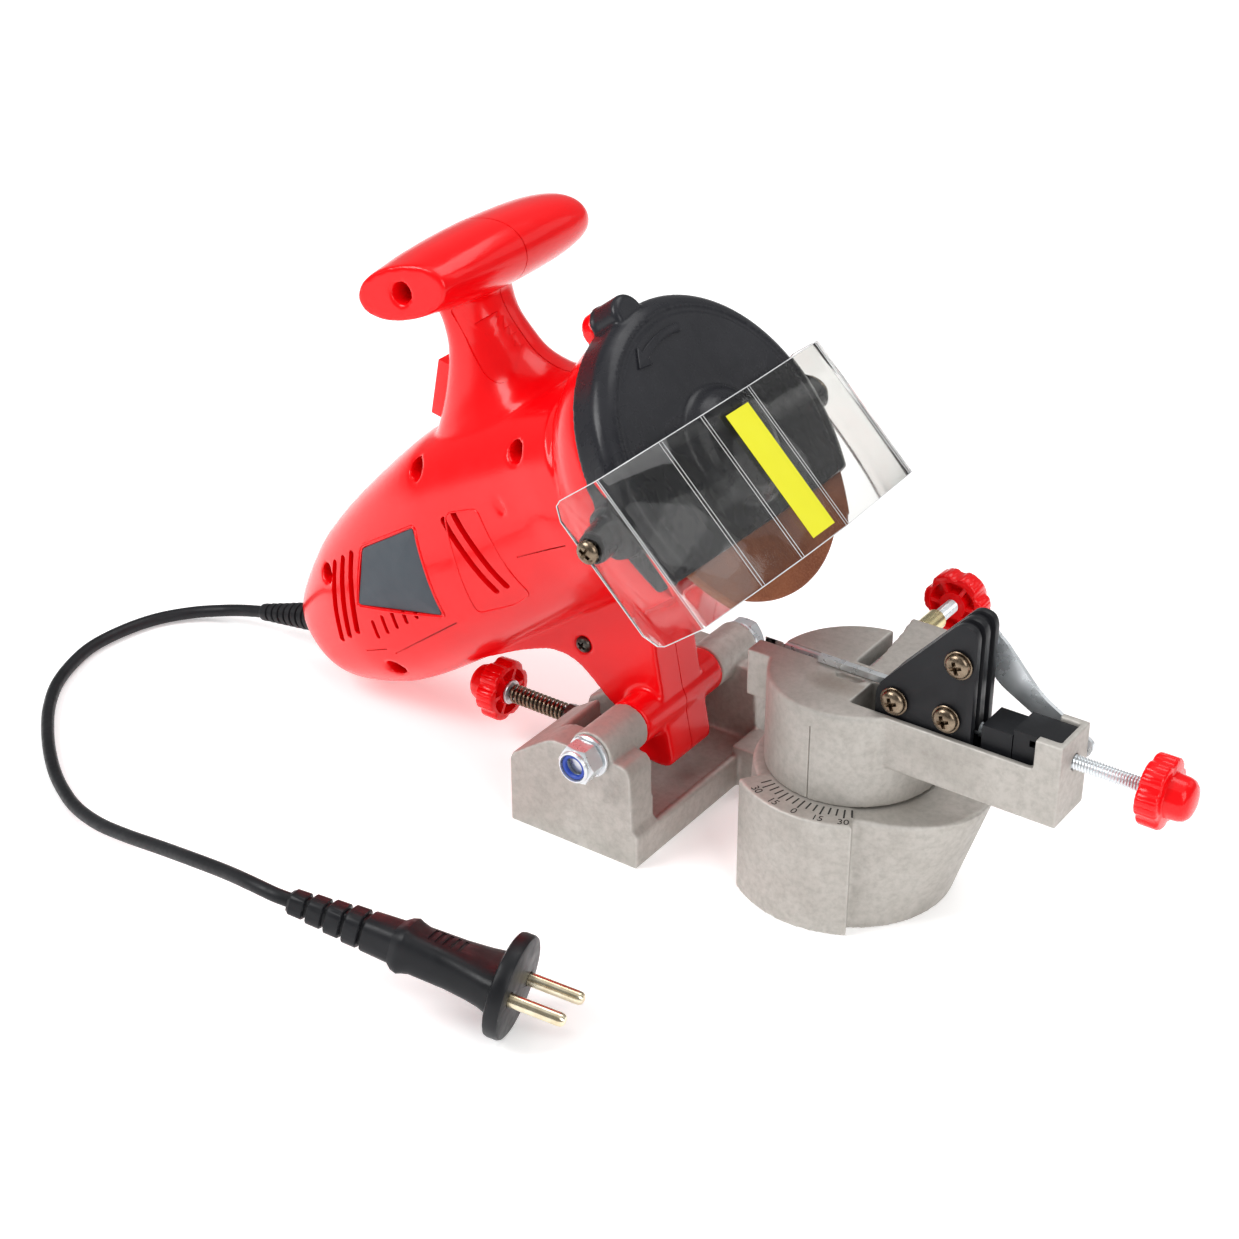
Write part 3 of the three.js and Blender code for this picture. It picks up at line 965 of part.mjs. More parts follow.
housings();
switchPieces();
guardPieces();
motorPieces();
const springSpan = pocket.halfWidth - spring.wire - gap;
add(head, 'return_spring', coilSpring(-springSpan, springSpan, spring).rotateZ(Math.PI / 2), looks.oxide());
console.log('return spring least gap', leastCoilGap(-springSpan, springSpan, spring).toFixed(2));
add(head, 'cord_relief', reliefBody(0), looks.black());

// Supply cord, one tube along its route on the table
function cordTube() {
  const path = new THREE.CatmullRomCurve3(cordRoute.map((point) => new THREE.Vector3(...point)), false, 'centripetal');
  const section = new THREE.Shape();
  section.absarc(0, 0, cord.radius, 0, turn, false);
  return new THREE.ExtrudeGeometry(section, {
    extrudePath: path, steps: cord.steps, bevelEnabled: false, curveSegments: cord.sides / 2,
  });
}
add(model, 'cord', cordTube(), looks.black());

// Plug with its ribbed neck, round flange and two pins
function plugPieces() {
  const grip = new THREE.Group();
  grip.position.set(plug.x, plug.y, plug.z);
  const [roll, pitch, yaw] = [plug.roll, -plug.pitch, plug.yaw].map(THREE.MathUtils.degToRad);
  grip.rotation.set(roll, pitch, yaw, 'ZYX');
  model.add(grip);
  const { reliefLength, reliefRadius, neckRadius, bodyRadius, bodyLength, flangeRadius, flangeThickness } = plug;
  const ribs = plugRibShares.flatMap(([along, share]) => {
    const from = along * reliefLength;
    const swell = reliefRadius + (neckRadius - reliefRadius) * share;
    return [[swell, from - plug.ribStep / 3], [swell, from], [reliefRadius, from + plug.ribStep / 4], [reliefRadius, from + plug.ribStep]];
  });
  const flangeBack = reliefLength + bodyLength - flangeThickness;
  const flangeFront = flangeBack + flangeThickness;
  const body = turnedX([
    [0, 0], [reliefRadius, 0], ...ribs, [neckRadius, reliefLength], [bodyRadius * 0.86, reliefLength + bodyLength * 0.12],
    [bodyRadius, reliefLength + bodyLength * 0.4], [bodyRadius * 0.9, flangeBack - flangeThickness],
    [bodyRadius * 1.15, flangeBack], [flangeRadius - gap * 3, flangeBack], [flangeRadius, flangeBack + gap * 3],
    [flangeRadius, flangeFront - gap * 3], [flangeRadius - gap * 3, flangeFront], [0, flangeFront],
  ], 0, 0, round);
  const pinHoles = [-1, 1].map((side) => rodX(flangeFront - plug.seat, flangeFront + overrun, plug.pinRadius + gap,
    (side * plug.pinPitch) / 2, 0, coarse));
  const trimmed = common(body, box(0, flangeFront, -flangeRadius, flangeRadius, -flangeRadius, flangeRadius));
  const root = box(flangeBack - flangeThickness * 2, flangeBack + overrun / 2, -flangeRadius + plug.pinRadius, flangeRadius - plug.pinRadius,
    -bodyRadius * 0.7, bodyRadius * 0.7);
  add(grip, 'plug_body', cut(join(trimmed, root), ...pinHoles), looks.black());
  [-1, 1].forEach((side, i) => {
    const pin = turnedX([
      [0, flangeFront - plug.seat + gap], [plug.pinRadius, flangeFront - plug.seat + gap],
      [plug.pinRadius, flangeFront + plug.pinLength - plug.pinRadius],
      [plug.pinRadius * 0.5, flangeFront + plug.pinLength], [0, flangeFront + plug.pinLength],
    ], (side * plug.pinPitch) / 2, 0);
    add(grip, `plug_pin_${i + 1}`, pin, looks.nickel());
  });
}
plugPieces();

export default model;
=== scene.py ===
"""Electric chainsaw sharpener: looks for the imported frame, built in millimetres and placed in metres."""
import json
import math

import bmesh
import bpy
from mathutils import Matrix, Vector
from mathutils.bvhtree import BVHTree

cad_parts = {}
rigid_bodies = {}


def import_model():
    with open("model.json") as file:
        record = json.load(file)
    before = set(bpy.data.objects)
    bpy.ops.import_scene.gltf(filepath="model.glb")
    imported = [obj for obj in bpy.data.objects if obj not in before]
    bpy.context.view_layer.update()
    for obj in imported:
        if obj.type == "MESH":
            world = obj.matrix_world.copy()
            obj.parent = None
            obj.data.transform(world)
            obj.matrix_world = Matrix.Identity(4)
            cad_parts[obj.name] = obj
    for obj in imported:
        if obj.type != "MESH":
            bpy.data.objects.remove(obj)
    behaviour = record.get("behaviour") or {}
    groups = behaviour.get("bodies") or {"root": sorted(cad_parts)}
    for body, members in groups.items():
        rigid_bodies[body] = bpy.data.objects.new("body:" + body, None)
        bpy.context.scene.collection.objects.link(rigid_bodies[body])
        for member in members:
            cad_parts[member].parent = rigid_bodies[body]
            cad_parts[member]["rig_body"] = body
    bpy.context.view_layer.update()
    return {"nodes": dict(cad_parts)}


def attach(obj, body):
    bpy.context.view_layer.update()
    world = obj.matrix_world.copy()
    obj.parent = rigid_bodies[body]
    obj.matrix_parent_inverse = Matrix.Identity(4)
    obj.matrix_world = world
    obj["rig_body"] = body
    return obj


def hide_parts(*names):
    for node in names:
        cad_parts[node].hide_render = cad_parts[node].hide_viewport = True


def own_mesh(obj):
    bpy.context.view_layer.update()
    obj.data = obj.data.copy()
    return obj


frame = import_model()

MM = 0.001
TURN = 2 * math.pi
scene = bpy.context.scene
rad = math.radians

# ---- camera
camera_data = bpy.data.cameras.new("camera")
camera_data.lens = 71.19
camera_data.sensor_width = 36
camera_data.clip_start = 0.05
camera = bpy.data.objects.new("camera", camera_data)
camera.location = (0.4218, -0.6171, 0.4989)
camera.rotation_euler = (rad(60.1), 0, rad(35.15))
scene.collection.objects.link(camera)
scene.camera = camera

# ---- shaders
LOW, HIGH = 0.3, 0.7  # the part of a noise pattern that the tones run over


class Shader:
    """A small builder for node materials on object coordinates, whose lengths are in metres."""

    def __init__(self, name):
        self.material = bpy.data.materials.new(name)
        self.material.use_nodes = True
        self.nodes = self.material.node_tree.nodes
        self.link = self.material.node_tree.links.new
        self.bsdf = next(n for n in self.nodes if n.type == "BSDF_PRINCIPLED")
        self.coords = self.nodes.new("ShaderNodeTexCoord").outputs["Object"]
        self.height = None

    def fill(self, node, values):
        """Sets a node's sockets to constants or links them to other nodes' outputs."""
        for key, value in values.items():
            slot = node.inputs[key.replace("_", " ")]
            if isinstance(value, bpy.types.NodeSocket):
                self.link(value, slot)
            else:
                slot.default_value = (*value[:3], 1) if slot.type == "RGBA" else value
        return node

    def node(self, kind, **values):
        return self.fill(self.nodes.new("ShaderNode" + kind), values)

    def set(self, **values):
        self.fill(self.bsdf, values)

    def noise(self, scale, detail=4.0, rough=0.55, stretch=None, distortion=0.0):
        where = self.coords
        if stretch is not None:
            where = self.node("Mapping", Scale=stretch, Vector=where).outputs["Vector"]
        return self.node("TexNoise", Scale=scale, Detail=detail, Roughness=rough, Distortion=distortion,
                         Vector=where).outputs["Fac"]

    def cells(self, scale):
        return self.node("TexVoronoi", Scale=scale, Vector=self.coords).outputs["Distance"]

    def ramp(self, value, *stops):
        node = self.node("ValToRGB", Fac=value)
        elements = node.color_ramp.elements
        while len(elements) < len(stops):
            elements.new(0.5)
        for element, (position, colour) in zip(elements, stops):
            element.position = position
            element.color = (*colour, 1)
        return node.outputs["Color"]

    def math(self, operation, *values):
        node = self.nodes.new("ShaderNodeMath")
        node.operation = operation
        for slot, value in zip(node.inputs, values):
            if isinstance(value, bpy.types.NodeSocket):
                self.link(value, slot)
            else:
                slot.default_value = value
        return node.outputs[0]

    def scale_to(self, value, low, high, start=0.0, end=1.0):
        return self.node("MapRange", From_Min=start, From_Max=end, To_Min=low, To_Max=high,
                         Value=value).outputs["Result"]

    def mix(self, factor, a, b):
        node = self.nodes.new("ShaderNodeMix")
        node.data_type = "RGBA"
        return self.fill(node, {"Factor": factor, "A": a, "B": b}).outputs["Result"]

    def bump(self, value, strength, distance):
        node = self.node("Bump", Strength=strength, Distance=distance, Height=value)
        if self.height is not None:
            self.link(self.height, node.inputs["Normal"])
        self.height = node.outputs["Normal"]
        self.link(self.height, self.bsdf.inputs["Normal"])


def plastic(name, deep, bright, rough, patch=30, grain=2600, grain_depth=0.00002, coat=0.0, gloss=0.5):
    s = Shader(name)
    s.set(Base_Color=s.ramp(s.noise(patch, 3), (LOW, deep), (HIGH, bright)),
          Roughness=s.scale_to(s.noise(patch * 6, 5), rough * 0.8, rough * 1.25, LOW, HIGH),
          Coat_Weight=coat, Coat_Roughness=0.08, Specular_IOR_Level=gloss)
    s.bump(s.noise(grain, 2), 0.25, grain_depth)
    return s.material


def metal(name, deep, bright, rough, patch=60, stretch=None, depth=0.00003, metallic=1.0):
    s = Shader(name)
    s.set(Base_Color=s.ramp(s.noise(patch, 6, 0.6), (LOW, deep), (HIGH, bright)), Metallic=metallic,
          Roughness=s.scale_to(s.noise(patch * 4, 4, stretch=stretch), rough * 0.75, rough * 1.3, LOW, HIGH))
    s.bump(s.noise(1800, 3, stretch=stretch), 0.3, depth)
    return s.material


def cast_metal():
    """Grey cast metal, paler at its edges as a painted highlight, with a brown smudge on the turntable's top."""
    s = Shader("cast_aluminium")
    broad = s.noise(38, 6, 0.6, distortion=0.4)
    fine = s.noise(420, 8, 0.65)
    tone = s.ramp(broad, (0.25, (0.40, 0.378, 0.345)), (0.5, (0.485, 0.46, 0.425)), (0.78, (0.55, 0.53, 0.495)))
    speckled = s.mix(s.scale_to(fine, 0.0, 0.34, 0.42, 0.66), tone, (0.33, 0.31, 0.285))
    pointiness = s.node("NewGeometry").outputs["Pointiness"]
    # painted highlight: the edges, where pointiness is high, are mixed towards a pale grey
    edge_highlit = s.mix(s.scale_to(pointiness, 0.0, 0.6, 0.515, 0.60), speckled, (0.76, 0.74, 0.70))
    x, y, z = s.node("SeparateXYZ", Vector=s.coords).outputs
    across, along = (s.math("POWER", s.math("DIVIDE", s.math("SUBTRACT", value, middle), half), 2)
                     for value, middle, half in ((x, 0.0838, 0.0105), (y, -0.0135, 0.0055)))
    near_top = s.scale_to(z, 0.0, 1.0, 0.0765, 0.0785)
    smudge = s.math("MULTIPLY", s.scale_to(s.math("ADD", across, along), 0.55, 0.0, 0.0, 1.4), near_top)
    s.set(Base_Color=s.mix(smudge, edge_highlit, (0.21, 0.165, 0.125)), Roughness=s.scale_to(fine, 0.46, 0.68, LOW, HIGH),
          Metallic=0.55)
    s.bump(s.noise(900, 6, 0.7), 0.55, 0.00012)
    s.bump(s.cells(330), 0.2, 0.0001)
    s.bump(broad, 0.25, 0.0004)
    return s.material


def abrasive():
    s = Shader("vitrified_abrasive")
    grains = s.noise(1500, 8, 0.75)
    base = s.ramp(s.noise(90, 5), (LOW, (0.20, 0.055, 0.022)), (HIGH, (0.31, 0.095, 0.038)))
    s.set(Base_Color=s.mix(s.scale_to(grains, 0.0, 0.55, 0.45, 0.7), base, (0.46, 0.19, 0.10)),
          Roughness=s.scale_to(grains, 0.75, 0.95))
    s.bump(grains, 0.8, 0.00022)
    s.bump(s.cells(1900), 0.5, 0.00015)
    return s.material


def clear_plastic():
    s = Shader("clear_acrylic")
    haze = s.noise(55, 4)
    s.set(Base_Color=s.ramp(haze, (LOW, (0.84, 0.84, 0.82)), (HIGH, (0.89, 0.89, 0.87))),
          Roughness=s.scale_to(haze, 0.02, 0.06), Transmission_Weight=1.0, IOR=1.42)
    s.bump(s.noise(30, 2), 0.02, 0.00005)
    return s.material


cast = cast_metal()
red = plastic("red_plastic", (0.84, 0.0015, 0.004), (0.92, 0.003, 0.006), 0.2,
              grain_depth=0.000003, coat=0.22, gloss=0.22)
charcoal = plastic("charcoal_plastic", (0.014, 0.0145, 0.018), (0.022, 0.0225, 0.027), 0.27,
                   grain_depth=0.000006, gloss=0.25)
black = plastic("black_plastic", (0.007, 0.0075, 0.009), (0.013, 0.0135, 0.016), 0.4, gloss=0.25)
slate = plastic("slate_panel", (0.046, 0.058, 0.072), (0.058, 0.073, 0.088), 0.45, gloss=0.35)
rubber = plastic("black_rubber", (0.007, 0.0075, 0.009), (0.014, 0.0145, 0.017), 0.45, patch=80, grain=1400,
                 gloss=0.25)
nylon = plastic("blue_nylon", (0.012, 0.05, 0.36), (0.02, 0.075, 0.48), 0.38)
yellow = plastic("plain_sticker", (0.80, 0.76, 0.01), (0.88, 0.85, 0.02), 0.4)
marks = plastic("dark_marks", (0.018, 0.017, 0.016), (0.035, 0.032, 0.03), 0.7)
zinc = metal("zinc_plate", (0.66, 0.70, 0.73), (0.84, 0.88, 0.90), 0.3, depth=0.000004, metallic=0.7)
yellow_zinc = metal("yellow_zinc", (0.62, 0.53, 0.27), (0.82, 0.74, 0.47), 0.25, patch=120, stretch=(6, 1, 6))
bronze = metal("bronze_steel", (0.15, 0.11, 0.075), (0.30, 0.235, 0.17), 0.26, patch=300)
oxide = metal("oxide_steel", (0.055, 0.047, 0.042), (0.15, 0.13, 0.115), 0.33, patch=240)
steel = metal("bare_steel", (0.45, 0.45, 0.46), (0.62, 0.62, 0.63), 0.28)
copper = metal("copper_winding", (0.36, 0.15, 0.06), (0.62, 0.28, 0.12), 0.35)
nickel = metal("nickel_pin", (0.60, 0.50, 0.32), (0.84, 0.77, 0.60), 0.2, patch=200, stretch=(1, 9, 9))
carbon = plastic("carbon_block", (0.02, 0.02, 0.02), (0.045, 0.045, 0.045), 0.7)
grit = abrasive()
clear = clear_plastic()
# pale glossy grey for the painted highlights along the clear sheet's border and folds
fold_highlight_paint = plastic("painted_fold_highlights", (0.62, 0.63, 0.64), (0.80, 0.81, 0.82), 0.15, coat=0.6)

# each material's usual slot
SLOTS = {
    cast: "cast_grey", red: "red_plastic", charcoal: "charcoal_plastic", black: "black_plastic", slate: "slate_panel",
    rubber: "black_rubber", nylon: "blue_nylon", yellow: "clear_sheet", marks: "cast_grey", zinc: "zinc",
    yellow_zinc: "yellow_zinc", bronze: "bronze_steel", oxide: "oxide_steel", nickel: "nickel", grit: "abrasive",
    clear: "clear_sheet", fold_highlight_paint: "clear_sheet",
}

# ---- shared axes and sizes, in millimetres
# The head's pieces are built in its own frame (u, v, w), with its origin on the pivot and u along the motor.
SIDES = (-1, 1)  # near, far
PIVOT = (7.9, 40.3)  # x, z
HEAD_TILT = 38  # degrees
DRUM = (85.5, -1.5)  # x, y of the vise's swivel
DEPTH = (-4.2, 20.4)  # y, z of the depth screw
CLAMP = (86.8, 74.5)  # x, z of the clamp screw
FEED = (-11.5, 79.4)  # y, z of the stop's feed screw
SPINDLE = (0, 68)  # v, w of the motor and the wheel
COVER_SCREW = (-8, 122.5)  # v, w
HINGE = (71.5, 64)  # u, w of the shield's screws
GRIP_SCREW = (30.5, 166)  # u, w
SCREW_HOLE, FEED_HOLE, BOLT_HOLE = 2.3, 2.8, 4.3
BEYOND = 400  # how far a block reaches that takes or keeps a whole side
SHARP, ROUND, SOFT = 25, 40, 60  # degrees between faces past which an edge is drawn sharp


# ---- shape helpers
def shown(mesh):
    obj = bpy.data.objects.new("form", mesh)
    scene.collection.objects.link(obj)
    return obj


def piece(verts, faces):
    mesh = bpy.data.meshes.new("form")
    mesh.from_pydata([tuple(v) for v in verts], [], faces)
    bm = bmesh.new()
    bm.from_mesh(mesh)
    bmesh.ops.recalc_face_normals(bm, faces=bm.faces)
    bm.to_mesh(mesh)
    bm.free()
    return shown(mesh)


def loft(rings, closed=False):
    n = len(rings[0])
    count = len(rings)
    faces = []
    for k in range(count if closed else count - 1):
        after = (k + 1) % count
        for i in range(n):
            j = (i + 1) % n
            faces.append((k * n + i, k * n + j, after * n + j, after * n + i))
    if not closed:
        faces.append(tuple(range(n))[::-1])
        faces.append(tuple(range((count - 1) * n, count * n)))
    return piece([p for ring in rings for p in ring], faces)


def on_axis(axis, h, a, b):
    """The point at h along an axis, with the two other places in order."""
    return {"X": (h, a, b), "Y": (a, h, b), "Z": (a, b, h)}[axis]


def hoop(axis, h, radius, at=(0, 0), n=96):
    """A ring about an axis; radius is a number or a function of the share round it."""
    ring = []
    for i in range(n):
        r = radius(i / n) if callable(radius) else max(radius, 0.02)
        ring.append(on_axis(axis, h, at[0] + r * math.cos(TURN * i / n), at[1] + r * math.sin(TURN * i / n)))
    return ring


def turned(profile, axis="Z", at=(0, 0), n=96, closed=False):
    """Turns a profile of (radius, place) pairs about an axis."""
    return loft([hoop(axis, h, r, at, n) for r, h in profile], closed)


def rod(axis, a, b, r, at=(0, 0), n=48):
    """A plain round bar from a to b along an axis."""
    return turned([(r, a), (r, b)], axis, at, n)


def tube(axis, a, b, inner, outer, at=(0, 0), n=64, edge=0.25):
    return turned([
        (inner + edge, a), (outer - edge, a), (outer, a + edge), (outer, b - edge), (outer - edge, b),
        (inner + edge, b), (inner, b - edge), (inner, a + edge)], axis, at, n, closed=True)


def thread(axis, a, b, radius, pitch, depth, at, n=28, per=7, ends=0.8):
    """A screw thread: rings whose radius follows the helix."""
    count = int((b - a) / pitch * per)
    rings = []
    for h in (a + (b - a) * k / count for k in range(count + 1)):
        ease = min(1.0, (h - a) / ends, (b - h) / ends)
        rings.append(hoop(axis, h, lambda t: radius - depth * (1 - abs(((h / pitch - t) % 1.0) * 2 - 1))
                          - depth * 0.8 * (1 - ease), at, n))
    return loft(rings)


def prism(points, axis, a, b):
    """Points are (x, z) along Y, (x, y) along Z and (y, z) along X."""
    return loft([[on_axis(axis, h, *p) for p in points] for h in (a, b)])


def box_outline(x0, x1, y0, y1):
    return [(x0, y0), (x1, y0), (x1, y1), (x0, y1)]


def block(x0, x1, y0, y1, z0, z1):
    return prism(box_outline(x0, x1, y0, y1), "Z", z0, z1)


def one_side(side, a, b):
    """Two places on the near or far side, in rising order."""
    return sorted((side * a, side * b))


def rounded(points, radius, steps=6):
    """Cuts each corner of a polygon back to an arc-like curve."""
    out = []
    n = len(points)
    for i, p in enumerate(points):
        p = Vector(p)
        before = Vector(points[i - 1]) - p
        after = Vector(points[(i + 1) % n]) - p
        r = radius[i] if isinstance(radius, (list, tuple)) else radius
        r = min(r, before.length * 0.48, after.length * 0.48)
        if r < 0.01:
            out.append(tuple(p))
            continue
        a = p + before.normalized() * r
        b = p + after.normalized() * r
        for k in range(steps + 1):
            t = k / steps
            out.append(tuple(a * (1 - t) ** 2 + p * (2 * t * (1 - t)) + b * t ** 2))
    return out


def refined(rows, times):
    """Catmull-Rom rows between the given ones."""
    out = []
    last = len(rows) - 1
    for i in range(last):
        p0, p1, p2, p3 = (rows[max(0, min(last, i + k))] for k in (-1, 0, 1, 2))
        for k in range(times):
            t = k / times
            out.append(tuple(
                0.5 * (2 * b + (c - a) * t + (2 * a - 5 * b + 4 * c - d) * t * t + (3 * b - a - 3 * c + d) * t ** 3)
                for a, b, c, d in zip(p0, p1, p2, p3)))
    out.append(tuple(rows[-1]))
    return out


def super_ring(n, exponent, spot):
    """A squarish ring: spot turns two shares from -1 to 1 into a point."""
    power = 2 / exponent
    ring = []
    for i in range(n):
        c, s = math.cos(TURN * i / n), math.sin(TURN * i / n)
        ring.append(spot(math.copysign(abs(c) ** power, c), math.copysign(abs(s) ** power, s)))
    return ring


def baked(obj):
    """Applies the modifiers on a piece."""
    graph = bpy.context.evaluated_depsgraph_get()
    mesh = bpy.data.meshes.new_from_object(obj.evaluated_get(graph))
    obj.modifiers.clear()
    obj.data = mesh
    return obj


def modify(obj, kind, **values):
    mod = obj.modifiers.new("shape", kind)
    for key, value in values.items():
        setattr(mod, key, value)


def combine(base, others, operation):
    for other in others:
        modify(base, "BOOLEAN", operation=operation, object=other, solver="MANIFOLD")
    baked(base)
    for other in others:
        bpy.data.objects.remove(other)
    return base


def cut(base, *others):
    return combine(base, others, "DIFFERENCE")


def join(base, *others):
    return combine(base, others, "UNION")


def merged(base, other):
    """Adds another form's faces to a piece without cutting them into each other."""
    bm = bmesh.new()
    bm.from_mesh(base.data)
    bm.from_mesh(other.data)
    bm.to_mesh(base.data)
    bm.free()
    bpy.data.objects.remove(other)
    return base


def wire(path, radius, closed=False, sides=6):
    """A thin round line along a path of points."""
    n = len(path)
    rings = []
    for i, point in enumerate(path):
        if closed:
            before, after = path[i - 1], path[(i + 1) % n]
        else:
            before, after = path[max(i - 1, 0)], path[min(i + 1, n - 1)]
        ahead = (after - before).normalized()
        side = ahead.cross(Vector((0.31, 0.83, 0.46))).normalized()
        out = side.cross(ahead)
        rings.append([point + (side * math.cos(TURN * k / sides) + out * math.sin(TURN * k / sides)) * radius
                      for k in range(sides)])
    return loft(rings, closed)


def soften(obj, voxel, passes):
    """Rounds a cast or moulded piece: even mesh, then smoothed."""
    modify(obj, "REMESH", mode="VOXEL", voxel_size=voxel)
    modify(obj, "SMOOTH", factor=0.5, iterations=passes)
    return baked(obj)


def bevelled(obj, width, segments=2, angle=30):
    modify(obj, "BEVEL", width=width, segments=segments, limit_method="ANGLE", angle_limit=rad(angle),
           harden_normals=False)
    return baked(obj)


def pose(at, degrees=0.0, axis="Y"):
    return Matrix.Translation(at) @ Matrix.Rotation(rad(degrees), 4, axis)


def turned_by(obj, matrix):
    obj.data.transform(matrix)
    return obj


HEAD = pose((PIVOT[0], 0, PIVOT[1]), -HEAD_TILT)
RELIEF_SEAT = pose((-135.5, 0, 80.5), 24)
SWITCH_SEAT = pose((-13.6, 0, 134.52), -41)


def place(obj, name, material, node=None, body=None, head=False, angle=35, slot=None):
    """Names a finished piece, puts it in the frame in metres and lets it ride with its node's body."""
    obj.data.transform(Matrix.Scale(MM, 4) @ (HEAD if head else Matrix.Identity(4)))
    obj.name = name
    obj.data.name = name
    obj.data.materials.clear()
    obj.data.materials.append(material)
    for polygon in obj.data.polygons:
        polygon.use_smooth = True
        polygon.material_index = 0
    obj.data.set_sharp_from_angle(angle=rad(angle))
    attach(obj, body or frame["nodes"][node]["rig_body"])
    slot or SLOTS[material]
    if node:
        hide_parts(node)
    return obj


def on_head(obj, *texts, **options):
    """Places a piece that was built in the head's own frame."""
    return place(obj, *texts, head=True, **options)


# ---- supply cord and plug
ROUTE = [
    (-187.57, 0, 10.49), (-192.47, 0, 9.29), (-200, -0.3, 7.3), (-208.8, -1.9, 5.1), (-219.6, -7.8, 3.4),
    (-228.7, -18.6, 2.6), (-233.2, -32.4, 2.6), (-234.6, -49.2, 2.6), (-231.1, -64.3, 2.6), (-224.6, -78.7, 2.6),
    (-215, -91.7, 2.6), (-204.4, -102.6, 2.6), (-192.6, -112.9, 2.6), (-180, -122.2, 2.6), (-167.5, -129.6, 3.2),
    (-153.6, -136.3, 4.8), (-136.8, -141.7, 7.8), (-118.4, -145.8, 12.4), (-98.5, -149.8, 18.1),
    (-78.5, -154, 23.8), (-59.4, -157.6, 28.6), (-44.5, -160.7, 31.9), (-34.5, -161, 32.05),
    (-29.15, -159.62, 31.13), (-23.4, -158.1, 30.1),
]
CORD_RADIUS = 2.45
line = refined(ROUTE, 6)
cord_curve = bpy.data.curves.new("supply_cord", "CURVE")
cord_curve.dimensions = "3D"
spline = cord_curve.splines.new("POLY")
spline.points.add(len(line) - 1)
for point, (x, y, z) in zip(spline.points, line):
    point.co = (x * MM, y * MM, z * MM, 1)
cord_curve.bevel_depth = CORD_RADIUS * MM
cord_curve.bevel_resolution = 8
cord_curve.use_fill_caps = True
cord_curve.materials.append(rubber)
supply_cord = bpy.data.objects.new("supply_cord", cord_curve)
scene.collection.objects.link(supply_cord)
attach(supply_cord, "base")
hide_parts("cord")
cord_length = sum((Vector(b) - Vector(a)).length for a, b in zip(line, line[1:])) * MM

PLUG = pose((-28.86, -159.54, 31.08), 14.7, "Z") @ pose((0, 0, 0), 10) @ pose((0, 0, 0), -17, "X")
PIN_SHIFT = 9.5  # from the plug's axis to each pin's
# along the plug, half its width, half its height
PLUG_BODY = [
    (27.5, 6.2, 5.7), (28, 6.4, 5.9), (37.5, 7.1, 6.3), (39.5, 8.6, 7.6), (41.5, 9.0, 8.2), (43, 8.6, 7.6),
    (45.5, 8.3, 6.9), (58, 9.6, 6.7), (66, 11.6, 6.7), (71, 13.3, 6.9), (74.6, 14.6, 7.8),
]
# turned outlines: radius, place
FLANGE = [(0.05, 74.4), (16.2, 74.4), (17.1, 74.9), (17.4, 75.9), (17.4, 78.8), (17.0, 79.6), (16.2, 80), (0.05, 80)]
PIN = [(2.0, 68.4), (2.3, 68.7), (2.3, 96.6), (2.15, 97.8), (1.7, 98.6), (0.9, 98.97), (0.1, 99)]


def plug_shape():
    """Notched squarish neck, a shoulder, a body that widens over the pins' roots, and the round flange."""
    rows = [(0, 3.2, 3.2)]
    for i in range(4):
        start, swell, waist = 0.6 + i * 6.7, 3.9 + 0.6 * i, 3.1 + 0.5 * i
        rows += [(start + along, size + wide, size + tall) for along, size, wide, tall in (
            (0, swell, -0.4, -0.4), (0.4, swell, 0, 0), (5.0, swell, 0.25, 0.1), (5.4, swell, -0.2, -0.2),
            (5.45, waist, 0, 0), (6.65, waist, 0, 0))]
    body = loft([super_ring(96, 3.6, lambda a, b: (x, a * wide, b * tall)) for x, wide, tall in rows + PLUG_BODY])
    join(body, turned(FLANGE, "X", n=112))
    cut(body, *[block(48 + i * 2.6, 49.2 + i * 2.6, -4.2, 4.2, *one_side(side, 6.35, 9))
                for side in SIDES for i in range(5)])
    cut(body, *[rod("X", 68, 84, 2.6, (side * PIN_SHIFT, 0), 32) for side in SIDES])
    return bevelled(body, 0.18, 1)


plug = place(turned_by(plug_shape(), PLUG), "plug_grip", black, "plug_body", angle=ROUND)
pins = [place(turned_by(turned(PIN, "X", (side * PIN_SHIFT, 0), 40), PLUG),
              f"plug_contact_{i}", nickel, f"plug_pin_{i}") for i, side in enumerate(SIDES, 1)]
[v * MM for v in ROUTE[0]]


def relief_shape():
    thin, thick, waist = 3.45, 6.4, 0.75
    profile = [(3.3, -40), (3.4, -39.8)]
    for i in range(9):
        start = -38.5 + i * 3.6
        r = thin + (thick - thin) * (i + 0.5) / 9.5
        profile += [(r, start), (r, start + 2.3), (r - waist, start + 2.5), (r - waist + 0.05, start + 3.4)]
    profile += [(6.5, -5.6), (6.5, 0), (8.1, 0), (8.1, 3.2), (5.8, 6.5), (2.6, 6.5)]
    return bevelled(turned(profile, "X", n=72), 0.15, 1)


place(turned_by(relief_shape(), HEAD @ RELIEF_SEAT), "cord_sleeve", rubber, "cord_relief")

# ---- motor housing
HALF = 38  # the barrel's half width
# shares along the barrel: top and bottom edge of its height, half width
BARREL = [
    (0, 0.585, 0.49, 0.1), (0.008, 0.65, 0.43, 0.29), (0.034, 0.712, 0.3, 0.45), (0.076, 0.775, 0.19, 0.58),
    (0.18, 0.884, 0.094, 0.73), (0.26, 0.939, 0.058, 0.81), (0.38, 0.993, 0.04, 0.87), (0.554, 1.045, 0.03, 0.92),
    (0.65, 1.045, 0.024, 0.94), (0.76, 1.02, 0.018, 0.97), (0.865, 0.98, 0.012, 1.02), (0.94, 0.945, 0.012, 1.08),
    (1, 0.92, 0.03, 1.12),
]
